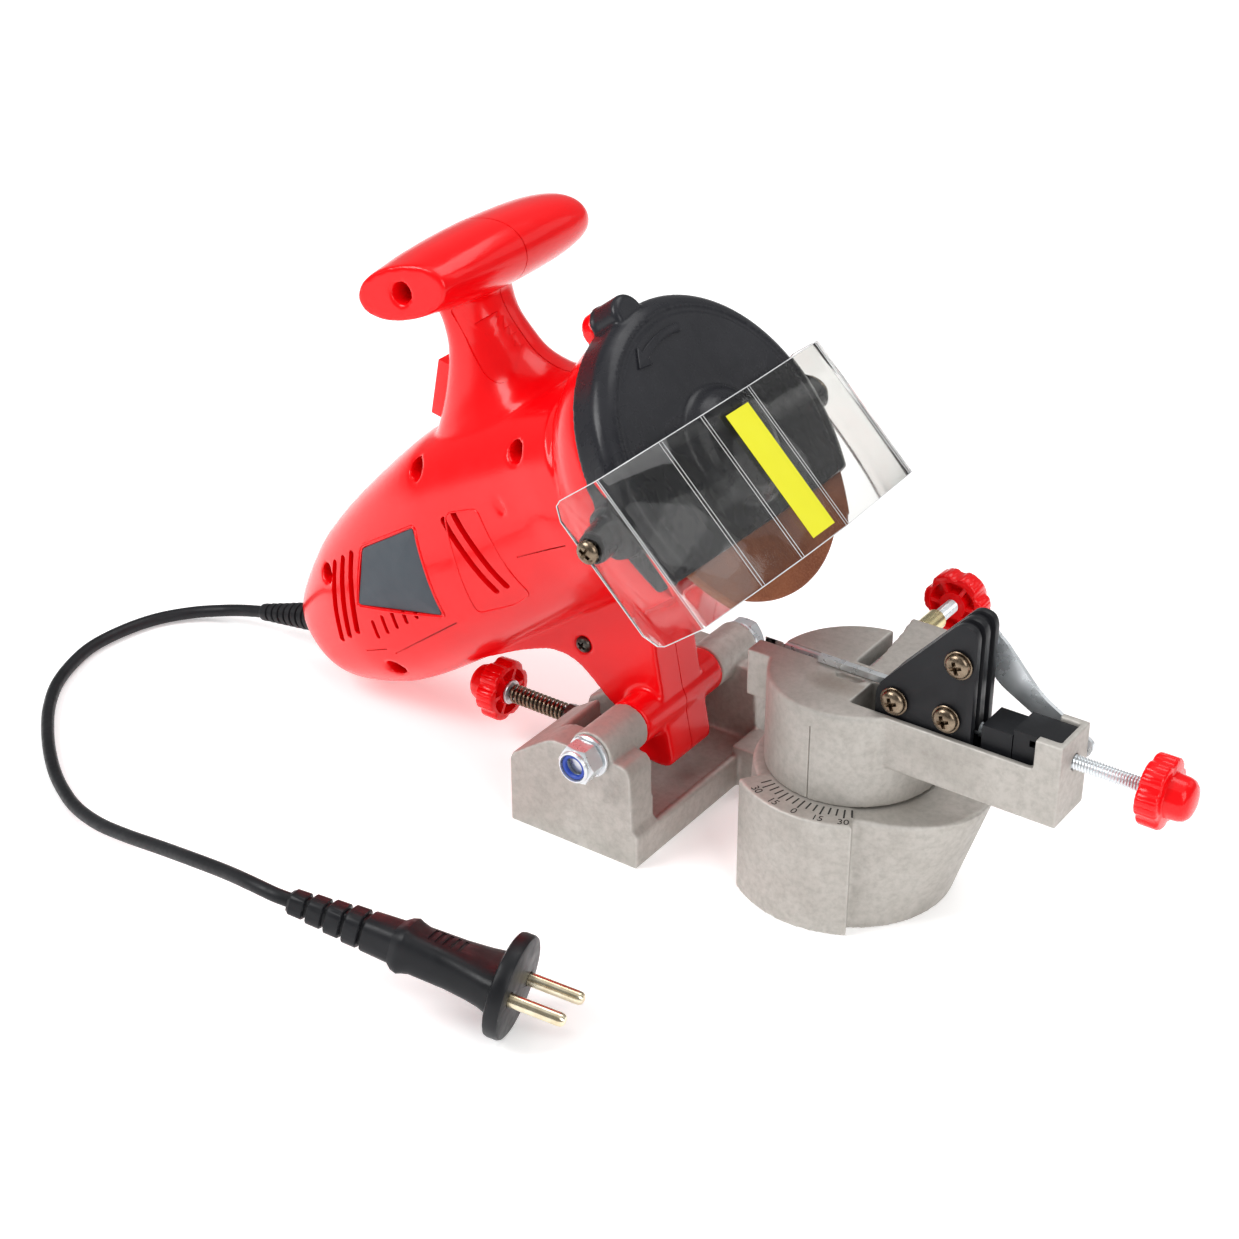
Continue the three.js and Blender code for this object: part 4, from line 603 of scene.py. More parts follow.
# shares up the neck: rear edge, front edge, half width
NECK = [
    (0, -1.4, 0.82, 1.08), (0.2, -1.24, 0.68, 0.96), (0.3, -1.05, 0.51, 0.84), (0.42, -0.78, 0.39, 0.7),
    (0.56, -0.52, 0.35, 0.6), (0.68, -0.34, 0.34, 0.55), (0.8, -0.22, 0.38, 0.58), (0.92, -0.13, 0.45, 0.66),
    (1, 0, 0.5, 0.6),
]
# shares across the handle: reach along u, half height
GRIP = [
    (0, 0.845, 0.705), (0.006, 0.868, 0.728), (0.02, 0.885, 0.742), (0.07, 0.925, 0.79), (0.2, 0.98, 0.9),
    (0.4, 1, 0.99), (0.6, 1, 0.99), (0.8, 0.96, 0.92), (0.92, 0.88, 0.8), (0.98, 0.76, 0.66), (1, 0.62, 0.5),
]
LEG_FRONT = [(1, 0.99), (0.52, 0.8), (0.32, 0.475), (0.155, 0.02), (-0.057, -0.58)]
LEG_REAR = [
    (-0.262, -0.355), (-0.18, -0.06), (-0.2, 0.1), (-0.245, 0.22), (-0.27, 0.42), (-0.31, 0.655), (-0.44, 0.84),
    (-0.7, 0.95), (-1.15, 1.06),
]
SKIRT = [(0, 0.5), (0.07, 0.6), (0.22, 0.76), (0.45, 0.89), (0.68, 0.97), (0.9, 1), (1, 1)]
SCREWS = [(29, 102, 44), (-26, 114, 30), (-95, 98, 34), (-91, 55, 34), (-11, 31, 14)]  # u, w, depth of the mouth
LABEL = [(-82, 82.5), (-66, 100), (-33.2, 97.3), (-44.5, 64.6)]
RECESS = [(17.5, 155), (15.8, 140), (17, 129.5), (21, 124.5), (26.5, 124), (28.6, 133), (31.5, 144), (33, 155)]
VENT = [(-14.5, 96.1), (2.1, 92), (0.3, 72.9), (-0.4, 57.2), (-10.8, 56.1), (-29.3, 59.5)]
RELIEF_ROOM = [(3.9, -44), (3.9, -40), (5.5, -14), (6.8, -6.5), (6.8, -0.3), (8.4, -0.3), (8.4, 3.6), (6.2, 6.8)]
# axis, from, to, radius, place, sides: the motor's, the bearings' and the shaft's rooms, and the pivot's bores
MOTOR_ROOMS = [
    ("X", -55.3, 5.3, 22.3, SPINDLE, 64), ("X", -82, -54, 24, SPINDLE, 48), ("X", -103.8, -96.2, 11.3, SPINDLE),
    ("X", 40.2, 47.8, 11.3, SPINDLE), ("X", -107, 72, 7.2, SPINDLE), ("Y", -9, 9, 7.3), ("Y", -93, 93, BOLT_HOLE),
]
# the cord's way in and the cover screw's bores
END_BORES = [
    ("X", -135, -80, 2.5, (0, 80.5), 32), ("X", 46, 64.7, 4.8, COVER_SCREW, 32),
    ("X", 62, 72, SCREW_HOLE, COVER_SCREW, 32),
]
# u, w, length, lean, count, pitch, depth, width of each row of air slots
AIR_SLOTS = [
    (-83, 87, 34, 35, 3, 6.5, 14, 3), (-8.5, 79, 33, -7, 2, 6.2, 14, 3), (-81.5, 71.5, 8, 24, 5, -6.5, 12, 1.8),
]
PARTING_LINES = [((8, 71), (34, 67)), ((-95, 66), (-84, 63)), ((-82, 60), (-42, 60))]
SEAM = 0.22  # from the middle to each shell's edge


def barrel_form():
    start, length, low, tall = -139, 185, 38, 82
    rings = []
    for along, top, bottom, half in refined(BARREL, 6):
        z1, z0 = low + top * tall, low + bottom * tall
        rings.append(super_ring(96, 2.3, lambda a, b: (
            start + along * length, a * half * HALF, (z1 + z0) / 2 + b * (z1 - z0) / 2)))
    return loft(rings)


def skirt_form():
    radius, front, length = 53.6, 69.7, 36
    flare = turned([(r * radius, front - length * (1 - along)) for along, r in refined(SKIRT, 5)], "X", SPINDLE, 144)
    return cut(flare, block(20, 80, -70, 70, -5, 40))


def neck_form():
    low, tall, middle, reach, half_width = 100, 66, 14, 40, 24
    rings = []
    for rise, rear, front, half in refined(NECK, 6):
        u0, u1 = middle + rear * reach, middle + front * reach
        rings.append(super_ring(72, 2.4, lambda a, b: (
            (u0 + u1) / 2 + a * (u1 - u0) / 2, b * half * half_width, low + rise * tall)))
    return loft(rings)


def grip_form():
    length, half_long, half_tall, slant = 89.5, 20, 12.6, 0.15
    c, s = math.cos(rad(-20)), math.sin(rad(-20))
    rings = []
    for along, reach, rise in refined(GRIP, 4):
        def spot(a, b):
            du = a * reach * half_long * c - b * rise * half_tall * s
            dw = a * reach * half_long * s + b * rise * half_tall * c
            return (GRIP_SCREW[0] + du, -43.5 + along * length + slant * (1 - along * 2) * du, GRIP_SCREW[1] + dw)
        rings.append(super_ring(80, 2.1, spot))
    return loft(rings)


def leg_form():
    outline = [(a * 58, b * 41) for a, b in LEG_FRONT + LEG_REAR]
    plate = prism(rounded(outline[::-1], 6), "Y", -12.4, 12.4)
    return join(plate, rod("Y", -23.5, 23.5, 8.7, n=72))


def housing_form():
    ear = rod("X", 64.7, 69.7, 6.7, COVER_SCREW)
    body = join(barrel_form(), skirt_form(), neck_form(), grip_form(), leg_form(), ear)
    pill = rounded(box_outline(-2.4, 2.4, -7, 7), 2.4)
    cuts = [turned_by(prism(pill, "Y", *one_side(side, 36.6, 45)), pose((12.9, 0, 92.5), -6)) for side in SIDES]
    cuts += [rod("Y", -mouth - 8, -11, 3.6, (u, w), 40) for u, w, mouth in SCREWS]
    cuts.append(rod("Y", -60, -34.5, 3.7, GRIP_SCREW, 40))
    return soften(cut(body, *cuts), 0.8, 6)


def housing_hollows():
    relief = turned_by(turned(RELIEF_ROOM, "X", n=48), RELIEF_SEAT)
    plate = turned_by(block(-11.3, 11.3, -6.8, 6.8, -7.2, 22), SWITCH_SEAT)
    return [*(rod(*row) for row in MOTOR_ROOMS), relief, plate, *(rod(*row) for row in END_BORES)]


def slots(u, w, length, lean, count, pitch, depth, width):
    """Rows of air slots on both sides, each a rounded bar that leans as in the photograph."""
    outline = rounded(box_outline(-width / 2, width / 2, -length / 2, length / 2), width / 2, 4)
    bars = []
    for k in range(count):
        for side in SIDES:
            bar = prism(outline, "Y", *one_side(side, HALF - depth, HALF + 3))
            bars.append(turned_by(bar, pose((u - k * pitch, 0, w), lean)))
    return bars


housing = housing_form()
skin = BVHTree.FromObject(housing, bpy.context.evaluated_depsgraph_get())


def skin_at(u, w):
    """The place along v where the near side's skin lies."""
    hit = skin.ray_cast(Vector((u, -90, w)), Vector((0, 1, 0)))
    return hit[0].y if hit[0] is not None else -33


def on_skin(points):
    return [Vector((u, skin_at(u, w), w)) for u, w in points]


def panel_outline(points, inset, radius):
    middle = sum((Vector(p) for p in points), Vector((0, 0))) / len(points)
    moved = [tuple(middle + (Vector(p) - middle) * (1 - inset / (Vector(p) - middle).length)) for p in points]
    return rounded(moved, radius, 5)


def draped_plate(points, lift, depth, rings=10):
    """A thin plate that follows the housing's side; lift is how far its face stands off the skin."""
    middle = (sum(p[0] for p in points) / len(points), sum(p[1] for p in points) / len(points))
    n = len(points)
    size = 1 + rings * n
    verts, faces = [], []
    for layer in (0, 1):
        verts.append((middle[0], skin_at(*middle) - lift + layer * depth, middle[1]))
        for k in range(1, rings + 1):
            t = k / rings
            for p in points:
                u, w = middle[0] + (p[0] - middle[0]) * t, middle[1] + (p[1] - middle[1]) * t
                verts.append((u, skin_at(u, w) - lift + layer * depth, w))
    for layer in (0, 1):
        start = layer * size
        for i in range(n):
            j = (i + 1) % n
            faces.append((start, start + 1 + i, start + 1 + j))
            for k in range(rings - 1):
                a = start + 1 + k * n
                faces.append((a + i, a + n + i, a + n + j, a + j))
    edge = 1 + (rings - 1) * n
    for i in range(n):
        j = (i + 1) % n
        faces.append((edge + i, size + edge + i, size + edge + j, edge + j))
    return piece(verts, faces)


def walked(points, step=2.0):
    """A closed outline with points at even steps."""
    out = []
    for a, b in zip(points, points[1:] + points[:1]):
        a, b = Vector(a), Vector(b)
        count = max(1, round((b - a).length / step))
        out += [tuple(a.lerp(b, k / count)) for k in range(count)]
    return out


def parting_line(start, end, half=0.25, depth=0.35):
    """A cutter for a fine line moulded across the near side."""
    a, b = Vector(start), Vector(end)
    normal = Vector((a.y - b.y, b.x - a.x)).normalized() * half
    outline = [tuple(p) for p in (a - normal, b - normal, b + normal, a + normal)]
    return prism(outline, "Y", -60, max(skin_at(*start), skin_at(*end)) + depth)


label_plate = draped_plate(panel_outline(LABEL, 0.6, 1.2), 0.05, 0.55)
label_seat = draped_plate(panel_outline(LABEL, 0.0, 1.8), 3.0, 3.75)
cut(housing, draped_plate(rounded(RECESS, [2, 3, 4, 4, 4, 4, 2, 2], 5), 3.0, 3.55))
cut(housing, *[bar for row in AIR_SLOTS for bar in slots(*row)])
cut(housing, label_seat)
cut(housing, *housing_hollows())
label_bead = wire(on_skin(walked(panel_outline(LABEL, -1.2, 2.2))), 0.45, True, 8)
vent_bead = wire(on_skin(walked(rounded(VENT, 3, 5))), 0.35, True, 8)
cut(housing, *[parting_line(*ends) for ends in PARTING_LINES])
far_half = shown(housing.data.copy())
combine(housing, [block(-BEYOND, BEYOND, -BEYOND, -SEAM, -BEYOND, BEYOND)], "INTERSECT")
combine(far_half, [block(-BEYOND, BEYOND, SEAM, BEYOND, -BEYOND, BEYOND)], "INTERSECT")
on_head(housing, "housing_shell_near", red, "housing_near", angle=42)
on_head(far_half, "housing_shell_far", red, "housing_far", angle=42)
on_head(label_bead, "panel_border", red, body="head")
on_head(vent_bead, "vent_border", red, body="head")
on_head(label_plate, "side_panel", slate, "label_panel", angle=50)


# ---- screws
def cross_head(radius, height, shank_r, shank, washer_r=0, washer_h=0):
    """A pan screw along +Z, seated at z = 0 with its shank below, a washer under the head and a cross recess."""
    profile = [(shank_r, -shank), (shank_r, 0)]
    if washer_r:
        profile += [(washer_r - 0.15, 0), (washer_r, 0.15), (washer_r, washer_h - 0.15), (washer_r - 0.15, washer_h)]
    low = washer_h + 0.25
    profile += [(radius - 0.2, washer_h), (radius, low)]
    for k in range(1, 9):
        t = k / 8 * math.pi / 2
        profile.append((radius * math.cos(t) ** 0.8 if k < 8 else 0.02, low + (height - 0.25) * math.sin(t)))
    head = turned(profile, n=56)
    arm, wide = radius * 0.62, radius * 0.17
    rows = ((washer_h + height * 0.25, wide * 0.5, arm * 0.5), (washer_h + height + 1, wide * 1.3, arm * 1.15))
    for angle in (20, 110):
        blade = loft([[(x, y, z) for x, y in box_outline(-a, a, -b, b)] for z, a, b in rows])
        cut(head, turned_by(blade, pose((0, 0, 0), angle, "Z")))
    return head


def aim(obj, at, direction):
    """Turns a piece built along +Z to a direction and moves it to a place."""
    quat = Vector((0, 0, 1)).rotation_difference(Vector(direction))
    return turned_by(obj, Matrix.Translation(at) @ quat.to_matrix().to_4x4())


for i, (u, w, mouth) in enumerate(SCREWS, 1):
    screw = aim(cross_head(3.2, 2.3, 1.45, 21.5), (u, -11.3, w), (0, -1, 0))
    on_head(screw, f"shell_screw_{i}", oxide, f"housing_screw_{i}", slot="bronze_steel")
screw = aim(cross_head(3.3, 1.8, 1.8, 17), (GRIP_SCREW[0], -34.9, GRIP_SCREW[1]), (0, -1, 0))
on_head(screw, "grip_screw", bronze, "handle_screw")

# ---- wheel guard and shield
# turned outlines: radius, place along u
GUARD_OUTER = [
    (56, 70), (56, 79), (55.7, 80.6), (54.8, 82.2), (53.2, 83.7), (51.4, 84.6), (50.2, 85), (49.4, 84.6),
    (48.2, 84.6), (47.2, 85), (24, 85), (21.6, 85.2), (20.3, 86.2), (18.8, 88.4), (16.2, 90.6), (12.5, 92.2),
    (7.5, 93.1), (0.05, 93.3),
]
GUARD_INNER = [
    (54, 60), (54, 79), (53.4, 81.3), (51.4, 82.6), (49.8, 82.8), (21, 82.8), (18, 84.8), (16, 87.6), (12.6, 89.7),
    (6.3, 91.1), (0.05, 91.1),
]
TOP_LUG = [(7, 70), (7, 81.2), (6.4, 82.2), (5.2, 82.8)]
SIDE_LUG = [(66, 56.5), (78.5, 54), (79.5, 70), (75, 71.5), (66, 71)]  # u, w


def guard_form():
    lugs = []
    for side in SIDES:
        lugs += [rod("Y", *one_side(side, 54.5, 67.7), 5.6, HINGE, 56),
                 prism(rounded(SIDE_LUG, 5), "Y", *one_side(side, 52.6, 58))]
    shell = join(turned(GUARD_OUTER, "X", SPINDLE, 160), turned(TOP_LUG, "X", COVER_SCREW, 56))
    cut(shell, turned(GUARD_INNER, "X", SPINDLE, 160))
    join(shell, tube("X", 63.2, 71, 6.75, 7.5, COVER_SCREW, edge=0.2))
    join(shell, *lugs)
    cut(shell, block(10, 96, -95, 95, -60, 42.5), block(10, 70, -50, 50, -60, 200),
        *[rod("Y", *one_side(side, 58.7, 70), SCREW_HOLE, HINGE, 32) for side in SIDES],
        rod("X", 68, 79, SCREW_HOLE, COVER_SCREW, 32))
    return soften(shell, 0.62, 4)


def arrow_form():
    """A raised turning arrow on the guard's face."""
    inner, outer, neck = 41.6, 44.6, 112
    spots = [(outer, 82 + k * 3) for k in range(11)] + [(47, neck), (43, 120.5), (39.2, neck)]
    spots += [(inner, neck - k * 3) for k in range(11)]
    return prism([(r * math.cos(rad(a)), SPINDLE[1] + r * math.sin(rad(a))) for r, a in spots], "X", 84.5, 85.9)


on_head(guard_form(), "wheel_cover", charcoal, "wheel_guard", angle=ROUND)
on_head(bevelled(arrow_form(), 0.3), "turn_arrow", charcoal, body="head")
screw = aim(cross_head(4.1, 2.4, 2.0, 13), (64.7, *COVER_SCREW), (-1, 0, 0))
on_head(screw, "cover_screw", bronze, "guard_screw")

PLAN = [(-70, 66.5), (-70, 89.8), (-39.9, 93.6), (-18, 95), (10, 95), (65.1, 86), (70, 83.6), (70, 66.5)]  # v, u
SHEET_LOW, SHEET_TOP, SHEET_THICK, SHEET_CORNER = 26.5, 82.5, 1.9, 6.0
SHEET_LEAN = math.tan(rad(7.6))


def sheet_stations():
    """Points along the sheet's plan with its inner face and how far its round corners trim it."""
    outer = [Vector(p) for p in rounded(PLAN, [0, 2.6, 5, 5, 5, 4, 3, 0], 7)]
    rows = []
    travelled = 0.0
    for i, p in enumerate(outer):
        tangent = (outer[min(len(outer) - 1, i + 1)] - outer[max(0, i - 1)]).normalized()
        if i:
            travelled += (p - outer[i - 1]).length
        rows.append((p, p + Vector((tangent.y, -tangent.x)) * SHEET_THICK, travelled))
    dense = []
    for (p0, q0, s0), (p1, q1, s1) in zip(rows, rows[1:]):
        steps = 8 if (s1 < 30 or s0 > travelled - 30) and s1 - s0 > 4 else 1
        dense += [(p0.lerp(p1, k / steps), q0.lerp(q1, k / steps), s0 + (s1 - s0) * k / steps) for k in range(steps)]
    out = []
    for p, q, s in dense + rows[-1:]:
        left = max(0.0, SHEET_CORNER - min(s, travelled - s))
        out.append((p, q, SHEET_CORNER - math.sqrt(max(0.0, SHEET_CORNER ** 2 - left ** 2))))
    return out


def on_sheet(point, w):
    return Vector((point[1] + SHEET_LEAN * (SHEET_TOP - w), point[0], w))


def shield_form():
    rings = []
    for p, q, trim in stations:
        low, top = SHEET_LOW + trim, SHEET_TOP - trim
        rings.append([on_sheet(p, low), on_sheet(p, top), on_sheet(q, top), on_sheet(q, low)])
    return bevelled(cut(loft(rings), rod("Y", -90, 90, 2.6, HINGE, 40)), 0.3, 2, 40)


def highlight_lines():
    """Painted highlights of the sheet: pale lines along its border and along the two edges of every fold."""
    inset, ends = 0.15, 0.4
    border = [on_sheet(p, SHEET_TOP - inset - trim) for p, q, trim in stations]
    border += [on_sheet(p, SHEET_LOW + inset + trim) for p, q, trim in reversed(stations)]
    made = wire(border, 0.19, True)
    for fold in PLAN[1:-1]:
        for shift in (-1.0, 1.0):
            spot = min((p for p, q, trim in stations),
                       key=lambda p: abs((p - Vector(fold)).length - 1.0) + 0.1 * shift * p.x)
            made = merged(made, wire([on_sheet(spot, w) for w in (SHEET_LOW + ends, 54, SHEET_TOP - ends)], 0.13))
    return made


def sticker_form():
    """A bare yellow strip on the sheet's front face."""
    front = 95
    outline = box_outline(-8.5, 4.8, front + 0.04, front + 0.16)
    return loft([[on_sheet(spot, w) for spot in outline] for w in (29.8, 78)])


stations = sheet_stations()
on_head(shield_form(), "eye_guard", clear, "eye_shield", angle=SHARP)
for name, side in zip(("near", "far"), SIDES):
    screw = aim(cross_head(4.1, 2.4, 2.0, 9), (HINGE[0], side * 70.3, HINGE[1]), (0, side, 0))
    on_head(screw, f"shield_pin_{name}", bronze, f"shield_screw_{name}")
# pale wires that paint the highlights of the sheet's border and folds
on_head(highlight_lines(), "sheet_edge_lines", fold_highlight_paint, body="shield")
on_head(sticker_form(), "shield_strip", yellow, body="shield")

# ---- grinding wheel
DISC = [
    (11.1, 78.4), (51.6, 78.4), (52.3, 78.9), (52.5, 79.6), (52.5, 80.4), (52.3, 81.1), (51.6, 81.6), (11.1, 81.6),
]
on_head(turned(DISC, "X", SPINDLE, 160, closed=True), "abrasive_disc", grit, "grinding_wheel")

# ---- base casting
BASE_LONG, BASE_TALL, BASE_HALF, EAR_WALL = 54.8, 40, 46.5, 13.5
DRUM_TOP, DRUM_FOOT = 44, 37  # the drum's height and its radius at the table
# shares of the ears' and the rear wall's length and height
EAR = [
    (0.5, 0), (0.497, 0.32), (0.46, 0.368), (0.438, 0.925), (0.395, 0.993), (-0.16, 1), (-0.225, 0.955),
    (-0.485, 0.7), (-0.5, 0.62), (-0.5, 0),
]
REAR_WALL = [(-0.5, 0), (-0.5, 0.62), (-0.485, 0.7), (-0.29, 0.88), (-0.27, 0.84), (-0.27, 0)]


def around(radius, degrees, z):
    """A point about the swivel, with 0 degrees at the near side."""
    a = rad(degrees) - math.pi / 2
    return (DRUM[0] + radius * math.cos(a), DRUM[1] + radius * math.sin(a), z)


def rim_at(share):
    """The radius of the drum's upper end, which reaches further out towards +X."""
    return 34 + 17 * max(0, math.cos(TURN * share)) ** 3


def drum_form():
    sector = [DRUM] + [around(41.5, -38 + 67.5 * k / 60, 0)[:2] for k in range(61)]
    scale = prism(sector, "Z", 0, DRUM_TOP)
    rings = []
    for rise in (k / 16 for k in range(17)):
        rings.append(hoop("Z", 43.4 * rise, lambda t: DRUM_FOOT + (rim_at(t) - DRUM_FOOT) * rise, DRUM, 144))
    return join(loft(rings), scale)


def base_form():
    ear, wall = ([(a * BASE_LONG, b * BASE_TALL) for a, b in shares] for shares in (EAR, REAR_WALL))
    ear = rounded(ear, [0, 1, 1, 3, 2, 2, 2, 3, 2, 0])
    half, inner = BASE_LONG / 2, BASE_HALF - EAR_WALL
    body = join(block(-half, half, -BASE_HALF, BASE_HALF, 0, 10), prism(wall, "Y", -BASE_HALF, BASE_HALF),
                block(0, 76.2, 18, 34, 0, 16), block(24.4, half, -BASE_HALF, BASE_HALF, 0, 12.7))
    cut(body, block(-15.4, 24.4, -inner, inner, 10, 20))
    join(body, *[prism(ear, "Y", *one_side(side, inner, BASE_HALF)) for side in SIDES],
         *[rod("Y", *one_side(side, 23.8, BASE_HALF), 8.6, PIVOT, 72) for side in SIDES], drum_form())
    cut(body, block(-30, -11.4, -8.5, 0.1, 15.48, 42), rod("Y", -50, 50, BOLT_HOLE, PIVOT),
        *[rod("Z", -2, 12, BOLT_HOLE, (-3, side * 18), 40) for side in SIDES],
        rod("Z", -2, 34.4, 27, DRUM, 96), rod("Z", 30, 46, BOLT_HOLE, DRUM, 40))
    return soften(body, 0.75, 4)


def scale_marks():
    """Dial lines every five degrees along the fixed drum's rim, cut lines shown as dark inlays."""
    step, half = 5 * 29.5 / 35, 0.3
    made = None
    for k in range(-7, 8):
        mark = block(31.6, 36.6 if k % 3 == 0 else 35.6, -half, half, DRUM_TOP - 0.3, DRUM_TOP + 0.02)
        turned_by(mark, pose((*DRUM, 0), k * step - 90, "Z"))
        made = merged(made, mark) if made else mark
    return made


def dial_numbers():
    made = None
    for text, degrees in (("30", -25.3), ("15", -12.6), ("0", 0), ("15", 12.6), ("30", 25.3)):
        curve = bpy.data.curves.new("number", "FONT")
        curve.body = text
        curve.size = 4.1
        curve.extrude = 0.15
        curve.align_x = "CENTER"
        curve.align_y = "CENTER"
        obj = shown(curve)
        bpy.context.view_layer.update()
        mesh = bpy.data.meshes.new_from_object(obj.evaluated_get(bpy.context.evaluated_depsgraph_get()))
        bpy.data.objects.remove(obj)
        number = turned_by(shown(mesh), pose(around(38.9, degrees, DRUM_TOP - 0.1), degrees, "Z"))
        made = merged(made, number) if made else number
    return made


place(base_form(), "base_block", cast, "base_casting", angle=SOFT)
place(scale_marks(), "dial_lines", marks, body="base")


# ---- pivot fasteners
def hexagon(axis, a, b, flats, at, chamfer=0.9):
    """A hexagon nut or head with its corners turned back at both faces."""
    r = flats / 2 / math.cos(math.pi / 6)
    flat = flats / 2 * 0.95
    trim = turned([(flat, a), (r + 0.1, a + chamfer), (r + 0.1, b - chamfer), (flat, b)], axis, at, 72)
    return combine(rod(axis, a, b, r, at, 6), [trim], "INTERSECT")


NUT_CROWN = [(5.0, -57.3), (5.6, -57.2), (6.0, -56.7), (6.05, -55.2), (6.0, -53)]
for name, a in (("near", -48.4), ("far", 46.8)):
    place(tube("Y", a, a + 1.6, BOLT_HOLE, 7.9, PIVOT, edge=0.3), f"axle_washer_{name}", zinc, f"pivot_washer_{name}")
bolt = join(hexagon("Y", 48.7, 54, 13, PIVOT), rod("Y", -52, 49, 4.0, PIVOT),
            thread("Y", -53.9, -47, 4.0, 1.25, 0.6, PIVOT))
place(bolt, "axle_bolt", zinc, "pivot_bolt")
nut = join(hexagon("Y", -55.7, -48.7, 13, PIVOT), turned(NUT_CROWN, "Y", PIVOT, 64))
cut(nut, rod("Y", -60, -48, BOLT_HOLE, PIVOT), rod("Y", -60, -54.8, 5.1, PIVOT, 64))
place(nut, "axle_nut", zinc, "pivot_nut")
place(tube("Y", -56.6, -55.0, 3.4, 4.8, PIVOT, edge=0.3), "nylon_ring", nylon, "nut_insert")

# ---- hand knobs
# place, radius, depth of the valleys between the lobes
KNOB_ROWS = [
    (0.0, 10.9, 1.15), (0.35, 11.4, 1.25), (0.9, 11.7, 1.3), (6.6, 11.7, 1.3), (7.15, 11.4, 1.25), (7.5, 10.8, 1.15),
    (7.55, 7.9, 0.1), (7.9, 7.5, 0.1), (11.8, 7.15, 0.1), (13.4, 6.6, 0.05), (14.6, 5.4, 0.0), (15.2, 3.6, 0.0),
    (15.45, 1.6, 0.0),
]


def knob_form(bore):
    """The lobed knob along +X: open side at x = 0, hub towards +X."""
    lobes, rib_pairs, rib = 3, 15, 0.2

    def radius_at(share):
        a = TURN * share
        ribbed = rib * (1 - abs(math.sin(rib_pairs * a)) ** 0.4) if depth > 0.3 else 0.0
        return radius - depth * abs(math.sin(lobes * a)) ** 7 - ribbed

    rings = []
    for x, radius, depth in KNOB_ROWS:
        rings.append(hoop("X", x, radius_at, n=240))
    body = cut(loft(rings), turned([(5.0, -1), (8.9, -1), (8.7, 3.5), (5.2, 3.5)], "X", n=72, closed=True))
    join(body, *[turned_by(block(0.3, 4.2, 4.2, 9.4, -0.75, 0.75), pose((0, 0, 0), k * 60, "X")) for k in range(6)])
    cut(body, rod("X", -1, 7.8, bore, n=40))
    return bevelled(body, 0.22, 1, 50)


for name, node, at, degrees, axis, bore in (
        ("depth_handwheel", "depth_knob", (-59.8, *DEPTH), 180, "Z", SCREW_HOLE),
        ("clamp_handwheel", "clamp_knob", (CLAMP[0], 61.4, CLAMP[1]), 90, "Z", SCREW_HOLE),
        ("adjust_handwheel", "adjust_knob", (194, *FEED), 0, "Z", SCREW_HOLE),
        ("lock_handwheel", "lock_knob", (*DRUM, 34), 90, "Y", BOLT_HOLE)):
    place(turned_by(knob_form(bore), pose(at, degrees, axis)), name, red, node, angle=ROUND)


# ---- depth stop
def coil_form(a, b, radius, thick, curls, at, steps=28, sides=12):
    rings = []
    count = curls * steps
    slope = math.atan2((b - a) / curls, TURN * radius)
    for k in range(count + 1):
        angle = TURN * k / steps
        x = a + (b - a) * k / count
        ring = []
        for i in range(sides):
            t = TURN * i / sides
            out, along = radius + thick * math.cos(t), thick * math.sin(t)
            side = -along * math.sin(slope)
            ring.append((x + along * math.cos(slope), at[0] + out * math.cos(angle) - side * math.sin(angle),
                         at[1] + out * math.sin(angle) + side * math.cos(angle)))
        rings.append(ring)
    return loft(rings)


place(thread("X", -67, -7.2, 2.0, 0.8, 0.35, DEPTH), "depth_thread", oxide, "depth_rod")
place(tube("X", -59.5, -58.5, SCREW_HOLE, 4.6, DEPTH), "depth_ring", zinc, "depth_washer")
depth_nut = turned_by(hexagon("X", -32.6, -19, 8, (0, 0), 0.5), pose((0, *DEPTH), 30, "X"))
place(cut(depth_nut, rod("X", -34, -17, SCREW_HOLE, DEPTH, 40)), "trapped_nut", oxide, "depth_nut")
spring = coil_form(-57.6, -33.5, 3.1, 0.55, 13, DEPTH)
place(spring, "depth_coil", bronze, "depth_spring", slot="oxide_steel")
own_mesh(spring)

# ---- turntable
DECK = 78.7  # the turntable's top
TABLE_SIDE = [(30.5, 44.3), (30.5, 77.4), (30.2, 78.3), (29.5, DECK)]
FRONT_LUG = [(0.07, 0.218), (-0.079, 1), (0.377, 1), (0.449, 0.646), (0.308, 0)]  # shares of its size
CLAMP_WEDGE = [(82, 3.5), (87.4, 3.5), (87.4, 7.4), (84.6, 31), (82, 31)]  # x, y


def table_form():
    lug = prism([(DRUM[0] + a * 41.3 * 0.75, -1.7 + b * 41.3) for a, b in FRONT_LUG], "Z", 62, DECK)
    body = join(turned(TABLE_SIDE, "Z", DRUM, 144), block(DRUM[0], 169.4, -22.5, -2.5, 60, DECK),
                block(160, 169.4, -22.5, -2.5, 60, 89.5), lug, block(47.7, DRUM[0], -11, 0, 61.2, DECK))
    cut(body, block(45.7, 94.3, -2.5, -0.5, 66.7, 82), block(55.7, 94.3, -1.5, 1.8, 69.1, 82),
        block(93.1, 158.8, -20.1, -4.9, 65, 82), block(158, 167.3, -18.9, -5.3, 86, 92),
        prism(CLAMP_WEDGE, "Z", 67, 82), rod("Y", -1.5, 42, FEED_HOLE, CLAMP, 40),
        rod("X", 156.5, 172, FEED_HOLE, FEED, 40), rod("Z", 42, 59, 4.0, DRUM, 40),
        prism([(79.3, -5.6), (91.2, -5.6), (88.5, -9), (81.5, -9)], "Z", 76.3, 82))
    soften(body, 0.6, 4)
    return cut(body, turned_by(block(30.05, 32, -0.3, 0.3, 43, 72.5), pose((*DRUM, 0), -90, "Z")))


